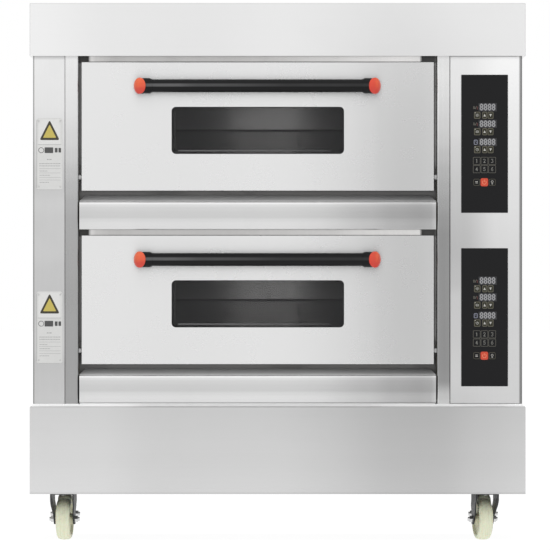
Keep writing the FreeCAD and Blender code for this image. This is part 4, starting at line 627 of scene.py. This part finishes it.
for deck, dz in DECKS.items():
    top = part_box(deck + "_control_panel")[0].y / MM          # front of the membrane
    # displays: a darker lens, the dim segments that are off, and the segments that are on
    lens = Relief(top, 0.15, dz)
    digits = Relief(top - 0.15, 0.06, dz)
    unlit = Relief(top - 0.15, 0.04, dz)
    for z0, z1 in ((1058.3, 1073.6), (1017.6, 1032.4), (972.8, 987.4)):
        lens.box(494.6, 539.6, z0 - 2.6, z1 + 2.6, 1.2)
        width, step = 8.2, 9.9
        for i in range(4):
            x = 497.6 + i * step
            seven_segment(digits, x, z0 - 0.4, width + 0.5, z1 - z0 + 1.6, 3.0, "abcdefg")
            unlit.disc(x + width + 0.9, z0 + 0.9, 0.55, 10)
    lens.piece(deck + "_display_lenses", ink_unlit, "cabinet", "panel_black")
    unlit.piece(deck + "_display_points", ink_dim, "cabinet", "panel_black")
    digits.piece(deck + "_display_digits", ink_display, "cabinet", "panel_black")

    marks = Relief(top, 0.10, dz)
    signs = Relief(top, 0.10, dz)
    for z in (1064.8, 1024.6):
        marks.box(490.4, 492.8, z - 4.6, z + 3.0, 0.8)
        signs.hoop(483.4, z - 1.4, 1.9, 0.8, steps=12)
        signs.hoop(483.4, z + 1.9, 1.7, 0.8, steps=12)
        signs.stroke([(486.4, z - 3.0), (489.4, z + 3.4)], 1.1)
    marks.piece(deck + "_indicator_lamps", ink_red, "cabinet", "panel_black")
    signs.piece(deck + "_indicator_signs", ink_dim, "cabinet", "panel_black")
    clock = Relief(top, 0.10, dz)
    clock.frame(483.0, 492.6, 973.6, 986.0, 1.9, 2.4)
    clock.stroke([(487.8, 984.0), (487.8, 979.8), (490.6, 978.6)], 1.1)
    clock.piece(deck + "_timer_icon", ink_icon, "cabinet", "panel_black")

    # keys: outlines, a heat or steam or timer mark, and the up and down arrows
    faces = Relief(top, 0.05, dz)
    outlines = Relief(top, 0.12, dz)
    symbols = Relief(top, 0.12, dz)
    for row, (z0, z1) in enumerate(((1037.6, 1054.8), (997.1, 1014.4), (952.9, 970.5))):
        mid = (z0 + z1) / 2
        for x0, x1 in ((483.6, 499.2), (503.9, 515.6), (517.0, 531.4)):
            faces.box(x0 + 1.0, x1 - 1.0, z0 + 1.0, z1 - 1.0, 1.6)
        outlines.frame(483.6, 499.2, z0, z1, 1.7, 2.6)
        outlines.frame(503.9, 515.6, z0, z1, 1.7, 2.6)
        outlines.frame(517.0, 531.4, z0, z1, 1.7, 2.6)
        symbols.shape([(506.6, mid - 3.0), (512.6, mid - 3.0), (509.6, mid + 3.6)])
        symbols.shape([(521.2, mid + 3.0), (527.2, mid + 3.0), (524.2, mid - 3.6)])
        symbols.box(485.6, 487.6, z1 - 3.4, z1 - 1.9, 0.4)
        x = 491.4
        if row == 0:
            symbols.hoop(x, mid, 2.2, 0.8, steps=16)
            for k in range(8):
                a = math.radians(45 * k)
                symbols.stroke([(x + 3.0 * math.cos(a), mid + 3.0 * math.sin(a)), (x + 4.3 * math.cos(a), mid + 4.3 * math.sin(a))], 0.7)
        elif row == 1:
            symbols.frame(x - 3.4, x + 3.4, mid - 2.6, mid + 2.6, 0.8, 0.8)
            symbols.stroke([(x - 2.0, mid), (x + 2.0, mid)], 0.8)
        else:
            symbols.hoop(x, mid, 3.5, 0.8, steps=18)
            symbols.stroke([(x, mid + 2.0), (x, mid), (x + 1.6, mid)], 0.7)
    outlines.piece(deck + "_key_outlines", ink_olive, "cabinet", "panel_black")
    faces.piece(deck + "_key_faces", ink_face, "cabinet", "panel_black")

    grid = Relief(top, 0.10, dz)
    numbers = Relief(top, 0.10, dz)
    for row, (z0, z1) in enumerate(((924.6, 943.2), (904.2, 923.0))):
        for col, (x0, x1) in enumerate(((481.2, 499.0), (500.4, 517.8), (519.2, 537.2))):
            grid.frame(x0, x1, z0, z1, 0.75, 1.6)
            for line in DIGITS[str(row * 3 + col + 1)]:
                symbols_line = [((x0 + x1) / 2 - 2.6 + 5.2 * a, (z0 + z1) / 2 - 4.4 + 8.8 * b) for a, b in line]
                numbers.stroke(symbols_line, 1.35)
    grid.piece(deck + "_number_keys", ink_dim, "cabinet", "panel_black")
    numbers.piece(deck + "_number_digits", ink_number, "cabinet", "panel_black")

    # bottom row: two function keys and the red key
    low_keys = Relief(top, 0.12, dz)
    low_keys.frame(482.2, 497.6, 873.2, 889.4, 0.8, 3.0)
    low_keys.frame(520.4, 536.2, 873.2, 889.4, 0.8, 3.0)
    low_keys.piece(deck + "_function_key_outlines", ink_olive, "cabinet", "panel_black")
    symbols.stroke([(487.4, 883.0), (492.4, 883.0)], 1.4)
    symbols.stroke([(487.4, 879.6), (492.4, 879.6)], 1.4)
    symbols.hoop(528.3, 882.6, 3.0, 0.9, steps=18)
    symbols.stroke([(526.9, 878.0), (529.7, 878.0)], 1.0)
    symbols.stroke([(527.4, 876.4), (529.2, 876.4)], 0.9)
    symbols.piece(deck + "_key_symbols", ink_white, "cabinet", "panel_black")
    red = Relief(top, 0.35, dz)
    red.box(499.6, 518.2, 871.4, 891.2, 4.2, 8)
    red_key = red.piece(deck + "_power_key", key_red, "cabinet", "panel_black")
    bevel = red_key.modifiers.new("edge", "BEVEL")
    bevel.width = 0.00025
    bevel.segments = 2
    mark = Relief(top - 0.35, 0.08, dz)
    mark.hoop(508.9, 881.0, 5.4, 1.5, start=125.0, sweep=290.0, steps=26)
    mark.stroke([(508.9, 882.6), (508.9, 887.4)], 1.5)
    mark.piece(deck + "_power_key_mark", ink_ring, "cabinet", "panel_black")

# ---------------------------------------------------------------- print on the rating plates

print_white = inked("plate_white", (0.73, 0.73, 0.72), 0.5)
print_yellow = inked("plate_yellow", (0.56, 0.46, 0.115), 0.45)
print_dark = inked("plate_dark", (0.055, 0.050, 0.035), 0.5)
print_black = inked("plate_black", (0.085, 0.085, 0.085), 0.5)
print_grey = inked("plate_grey", (0.37, 0.37, 0.37), 0.55)
plates_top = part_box("rating_plates")[1].z / MM
plates_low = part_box("rating_plates")[0].z / MM - DECKS["lower"] / MM
PLATE_Z = (plates_low, plates_top)
for deck, dz in DECKS.items():
    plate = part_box("rating_plates")
    face_y = plate[0].y / MM
    white = Relief(face_y, 0.10, dz)
    white.box(-588.5, -534.5, 975.6, 1036.6, 1.5)
    white.piece(deck + "_plate_white_field", print_white, "cabinet", "plate_silver")
    apex, left, right = (-561.2, 1034.6), (-586.0, 985.2), (-536.5, 985.2)

    def inset(amount):
        """The triangle with every side moved inwards."""
        cx_, cz_ = (apex[0] + left[0] + right[0]) / 3, (apex[1] + left[1] + right[1]) / 3
        return [(cx_ + (p[0] - cx_) * amount, cz_ + (p[1] - cz_) * amount) for p in (apex, left, right)]

    def soft_corners(points, r):
        out = []
        for i, p in enumerate(points):
            a, b = points[i - 1], points[(i + 1) % 3]
            da = math.hypot(a[0] - p[0], a[1] - p[1])
            db = math.hypot(b[0] - p[0], b[1] - p[1])
            s = (p[0] + (a[0] - p[0]) * r / da, p[1] + (a[1] - p[1]) * r / da)
            e = (p[0] + (b[0] - p[0]) * r / db, p[1] + (b[1] - p[1]) * r / db)
            for k in range(5):
                u = k / 4
                out.append(((1 - u) ** 2 * s[0] + 2 * u * (1 - u) * p[0] + u ** 2 * e[0],
                            (1 - u) ** 2 * s[1] + 2 * u * (1 - u) * p[1] + u ** 2 * e[1]))
        return out

    sign = Relief(face_y - 0.10, 0.08, dz)
    sign.shape(soft_corners(inset(0.97), 5.0))
    sign.piece(deck + "_plate_yellow_field", print_yellow, "cabinet", "plate_silver")
    border = Relief(face_y - 0.10, 0.12, dz)
    border.ring(soft_corners(inset(1.0), 5.5), soft_corners(inset(0.66), 2.6))
    border.piece(deck + "_plate_sign_border", print_dark, "cabinet", "plate_silver")

    dark = Relief(face_y - 0.02, 0.10, dz)
    dark.hoop(-582.0, 960.2, 7.0, 1.3)
    dark.box(-573.6, -552.4, 953.2, 967.2, 1.2)
    dark.box(-548.4, -541.6, 954.6, 965.8, 1.0)
    dark.box(-539.4, -533.0, 954.6, 965.8, 1.0)
    dark.piece(deck + "_plate_marks", print_black, "cabinet", "plate_silver")

    grey = Relief(face_y - 0.02, 0.06, dz)
    low_z, high_z = PLATE_Z
    # painted shade: a dark line down the left edge and along the bottom edge of the plate, and a painted shadow bar
    # under each rivet; the grey lines further down are print
    grey.box(-593.2, -592.2, low_z + 6.0, high_z - 6.0)
    grey.box(-588.0, -535.0, low_z + 0.6, low_z + 1.6)
    for px, pz in ((-590.2, high_z - 3.6), (-532.9, high_z - 3.6), (-590.2, low_z + 3.6), (-532.9, low_z + 3.6)):
        grey.shape([(px - 2.2, pz - 2.2), (px + 2.2, pz - 2.2), (px + 2.2, pz - 1.5), (px - 2.2, pz - 1.5)])
    grey.box(-590.5, -532.5, 973.6, 974.4)
    dashes = [(979.6, -582.0, -539.0, 1.6), (937.4, -568.0, -554.5, 2.2), (927.2, -586.5, -534.5, 1.7), (921.6, -586.5, -536.0, 1.7),
              (914.9, -587.0, -534.0, 0.7), (904.2, -587.0, -534.0, 0.7), (893.3, -587.0, -534.0, 0.7), (886.8, -587.0, -534.0, 0.7),
              (909.0, -586.0, -566.0, 1.5), (898.6, -586.0, -560.0, 1.5), (881.0, -586.0, -563.0, 1.5)]
    for z, x0, x1, height in dashes:
        if height < 1.0:
            grey.box(x0, x1, z - height / 2, z + height / 2)
            continue
        x, k = x0, 0
        while x < x1 - 1.0:
            w = (3.4, 1.9, 4.6, 2.6, 3.0)[k % 5]
            grey.box(x, min(x + w, x1), z - height / 2, z + height / 2)
            x += w + 0.9
            k += 1
    grey.piece(deck + "_plate_lines", print_grey, "cabinet", "plate_silver")

# ---------------------------------------------------------------- inside the chambers and the windows

seam_metal = plain_metal("chamber_seam", (0.055, 0.055, 0.055), 0.5, mottle=0.2, speck=200, bump=0.15)
lower_back = brushed_steel("chamber_lower_sheet", (0.30, 0.295, 0.29), 0.38, upright=True, aniso=0.5, fine=0.1, streak=0.12,
                           mottle=0.12, smudge=0.12)
hole_dark = plain_metal("chamber_screw", (0.05, 0.05, 0.05), 0.5, mottle=0.2, speck=300, bump=0.1)
# painted highlight: the X tones make the lip bright from the left of the bottom strip, fading to the right, and dark on
# the left strip
lip_metal = brushed_steel("window_lip", (0.62, 0.62, 0.62), 0.3, aniso=0.3,
                          tones=[("X", [(-256, 0.14), (-250, 0.16), (-244, 0.95), (-60, 0.95), (10, 0.85), (60, 0.55), (140, 0.38)])])
for deck, z0 in (("upper", 766.0), ("lower", 339.0)):
    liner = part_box(deck + "_chamber_liner")
    rear = 335.0
    sheet = Relief(rear, 1.0)
    sheet.box(-462.5, 366.5, z0 + 151.0, z0 + 248.0, 2.0)
    sheet.piece(deck + "_chamber_lower_sheet", lower_back, "cabinet", "liner_steel")
    rail = Relief(rear, 5.0)
    rail.box(-462.5, 366.5, z0 + 247.4, z0 + 253.6, 1.0)
    rail.piece(deck + "_chamber_seam", seam_metal, "cabinet", "liner_steel")
    heads = Relief(rear - 1.0, 2.2)
    for x, dzr, r in ((-131.0, 217, 4.2), (-143.0, 197, 3.6), (52.0, 230, 3.6), (54.5, 216, 4.2), (57.0, 196, 4.2)):
        heads.disc(x, z0 + dzr, r, 18)
    heads.piece(deck + "_chamber_screws", hole_dark, "cabinet", "liner_steel")
    # rolled lip of the inner frame: strips along the bottom and up the left side, coloured as a painted highlight that
    # fades to the right along the bottom
    glass_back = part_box(deck + "_door_outer_glass")[1].y / MM
    lip = Relief(glass_back + 1.6, 1.2)
    lip.box(-245.0, 131.0, z0 + 191.4, z0 + 194.8, 1.0)
    lip.box(-254.6, -250.4, z0 + 200.0, z0 + 294.0, 1.2)
    lip.piece(deck + "_window_inner_lip", lip_metal, deck + "_door", "window_frame_black")

# turned edge of the lowest fascia, seen in the joint over the plinth
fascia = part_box("lower_sill_fascia")
plinth_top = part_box("base_plinth")[1].z / MM
joint = Relief(fascia[0].y / MM + 3.0, 1.4)
joint.box(fascia[0].x / MM + 2.0, fascia[1].x / MM - 2.0, plinth_top + 0.25, plinth_top + 1.75, 0.3)
joint.piece("plinth_joint_edge", steel_plinth, "cabinet", "stainless")

# ---------------------------------------------------------------- floor, light and camera

def stage_mesh(name, corners, material, **visible):
    mesh = bpy.data.meshes.new(name)
    mesh.from_pydata(corners, [], [tuple(range(len(corners)))])
    mesh.materials.append(material)
    ob = bpy.data.objects.new(name, mesh)
    scene.collection.objects.link(ob)
    for key, value in visible.items():
        setattr(ob, key, value)
    return ob


def floor_material():
    m = bpy.data.materials.new("studio_floor")
    m.use_nodes = True
    nt = m.node_tree
    nt.nodes.clear()
    out = nt.nodes.new("ShaderNodeOutputMaterial")
    add = nt.nodes.new("ShaderNodeAddShader")
    diffuse = nt.nodes.new("ShaderNodeBsdfDiffuse")
    diffuse.inputs["Color"].default_value = (0.10, 0.10, 0.10, 1)
    glow = nt.nodes.new("ShaderNodeEmission")
    glow.inputs["Color"].default_value = (1, 1, 1, 1)
    glow.inputs["Strength"].default_value = 0.95
    nt.links.new(diffuse.outputs[0], add.inputs[0])
    nt.links.new(glow.outputs[0], add.inputs[1])
    nt.links.new(add.outputs[0], out.inputs["Surface"])
    return m


stage_mesh("studio_floor", [(-90, -60, 0), (90, -60, 0), (90, 110, 0), (-90, 110, 0)], floor_material())


def softbox_material(name, strength, horizontal, vertical, mask=None):
    """Soft light whose strength drifts across it: stops along X and along Z, in metres."""
    m = bpy.data.materials.new(name)
    m.use_nodes = True
    nt = m.node_tree
    nt.nodes.clear()
    out = nt.nodes.new("ShaderNodeOutputMaterial")
    emission = nt.nodes.new("ShaderNodeEmission")
    emission.inputs["Color"].default_value = (1, 1, 1, 1)
    here = nt.nodes.new("ShaderNodeTexCoord").outputs["Object"]
    split = nt.nodes.new("ShaderNodeSeparateXYZ")
    nt.links.new(here, split.inputs[0])

    def ramp(socket, stops):
        low, high = stops[0][0], stops[-1][0]
        span = nt.nodes.new("ShaderNodeMapRange")
        span.inputs["From Min"].default_value = low
        span.inputs["From Max"].default_value = high
        nt.links.new(socket, span.inputs["Value"])
        node = nt.nodes.new("ShaderNodeValToRGB")
        node.color_ramp.interpolation = "EASE"
        elements = node.color_ramp.elements
        while len(elements) < len(stops):
            elements.new(0.5)
        for element, (p, v) in zip(elements, stops):
            element.position = (p - low) / (high - low)
            element.color = (v / 2, v / 2, v / 2, 1)
        nt.links.new(span.outputs[0], node.inputs[0])
        double = nt.nodes.new("ShaderNodeMath")
        double.operation = "MULTIPLY"
        double.inputs[1].default_value = 2.0
        nt.links.new(node.outputs[0], double.inputs[0])
        return double.outputs[0]

    def times(a, b):
        node = nt.nodes.new("ShaderNodeMath")
        node.operation = "MULTIPLY"
        nt.links.new(a, node.inputs[0])
        if isinstance(b, float):
            node.inputs[1].default_value = b
        else:
            nt.links.new(b, node.inputs[1])
        return node.outputs[0]

    drift = ramp(split.outputs[0], horizontal)
    if mask is not None:
        # the sideways drift fades in and out with height
        fade = ramp(split.outputs[2], mask)
        mix = nt.nodes.new("ShaderNodeMix")
        mix.data_type = "FLOAT"
        nt.links.new(fade, mix.inputs[0])
        mix.inputs[2].default_value = 1.0
        nt.links.new(drift, mix.inputs[3])
        drift = mix.outputs[0]
    total = times(times(drift, ramp(split.outputs[2], vertical)), strength)
    nt.links.new(total, emission.inputs["Strength"])
    nt.links.new(emission.outputs[0], out.inputs["Surface"])
    return m


HIDDEN = {"visible_camera": False}
front_light = softbox_material(
    "front_softbox", 0.98,
    [(-1.6, 1.0), (-0.55, 1.03), (-0.45, 1.02), (-0.25, 0.99), (-0.05, 1.03), (0.03, 1.04), (0.12, 0.97), (0.22, 0.83),
     (0.31, 0.74), (0.40, 0.76), (0.50, 0.90), (0.65, 1.0), (1.6, 1.0)],
    [(0.0, 1.04), (0.9, 1.04), (1.05, 1.06), (1.15, 1.10), (1.3, 1.12), (2.4, 1.06)],
    [(0.0, 0.9), (0.6, 1.0), (1.16, 1.0), (1.22, 0.1), (2.4, 0.1)])
stage_mesh("front_softbox", [(-1.6, -1.30, 0.0), (1.6, -1.30, 0.0), (1.6, -1.30, 2.4), (-1.6, -1.30, 2.4)], front_light, **HIDDEN)

world = bpy.data.worlds.new("studio")
scene.world = world
world.use_nodes = True
wt = world.node_tree
wt.nodes.clear()
w_out = wt.nodes.new("ShaderNodeOutputWorld")
w_mix = wt.nodes.new("ShaderNodeMixShader")
w_path = wt.nodes.new("ShaderNodeLightPath")
w_light = wt.nodes.new("ShaderNodeBackground")
w_seen = wt.nodes.new("ShaderNodeBackground")
w_seen.inputs["Color"].default_value = (1, 1, 1, 1)
w_seen.inputs["Strength"].default_value = 1.0
w_dir = wt.nodes.new("ShaderNodeTexCoord")
w_split = wt.nodes.new("ShaderNodeSeparateXYZ")
wt.links.new(w_dir.outputs["Generated"], w_split.inputs[0])
w_ramp = wt.nodes.new("ShaderNodeValToRGB")
w_span = wt.nodes.new("ShaderNodeMapRange")
w_span.inputs["From Min"].default_value = -1.0
w_span.inputs["From Max"].default_value = 1.0
wt.links.new(w_split.outputs[2], w_span.inputs["Value"])
wt.links.new(w_span.outputs[0], w_ramp.inputs[0])
stops = [(0.0, 0.5), (0.48, 0.55), (0.56, 0.70), (0.72, 0.92), (1.0, 0.86)]
while len(w_ramp.color_ramp.elements) < len(stops):
    w_ramp.color_ramp.elements.new(0.5)
for element, (p, v) in zip(w_ramp.color_ramp.elements, stops):
    element.position = p
    element.color = (v, v, v, 1)
wt.links.new(w_ramp.outputs[0], w_light.inputs["Color"])
w_light.inputs["Strength"].default_value = 1.0
wt.links.new(w_path.outputs["Is Camera Ray"], w_mix.inputs[0])
wt.links.new(w_light.outputs[0], w_mix.inputs[1])
wt.links.new(w_seen.outputs[0], w_mix.inputs[2])
wt.links.new(w_mix.outputs[0], w_out.inputs["Surface"])


def soft_lamp(name, place, aim, size, watts, size_y=None):
    data = bpy.data.lights.new(name, "AREA")
    data.shape = "RECTANGLE"
    data.size = size
    data.size_y = size_y or size
    data.energy = watts
    lamp = bpy.data.objects.new(name, data)
    lamp.location = place
    lamp.rotation_euler = (Vector(aim) - Vector(place)).to_track_quat("-Z", "Y").to_euler()
    lamp.visible_camera = False
    scene.collection.objects.link(lamp)
    return lamp


soft_lamp("overhead", (0.0, -0.2, 3.6), (0.0, 0.0, 0.6), 2.6, 60.0).visible_glossy = False
for deck, z0 in (("upper", 0.766), ("lower", 0.339)):
    soft_lamp(deck + "_chamber_glow", (-0.022, 0.19, z0 + 0.245), (-0.022, 0.4, z0 + 0.245), 0.18, 0.125, 0.16)

camera_data = bpy.data.cameras.new("camera")
camera_data.sensor_width = 36.0
camera_data.lens = 36.0 * 29.6 / 1.353
camera_data.clip_start = 1.0
camera_data.clip_end = 200.0
camera = bpy.data.objects.new("camera", camera_data)
camera.location = (-0.0064, -30.0, 0.653)
camera.rotation_euler = (math.radians(90.0), 0.0, 0.0)
scene.collection.objects.link(camera)
scene.camera = camera
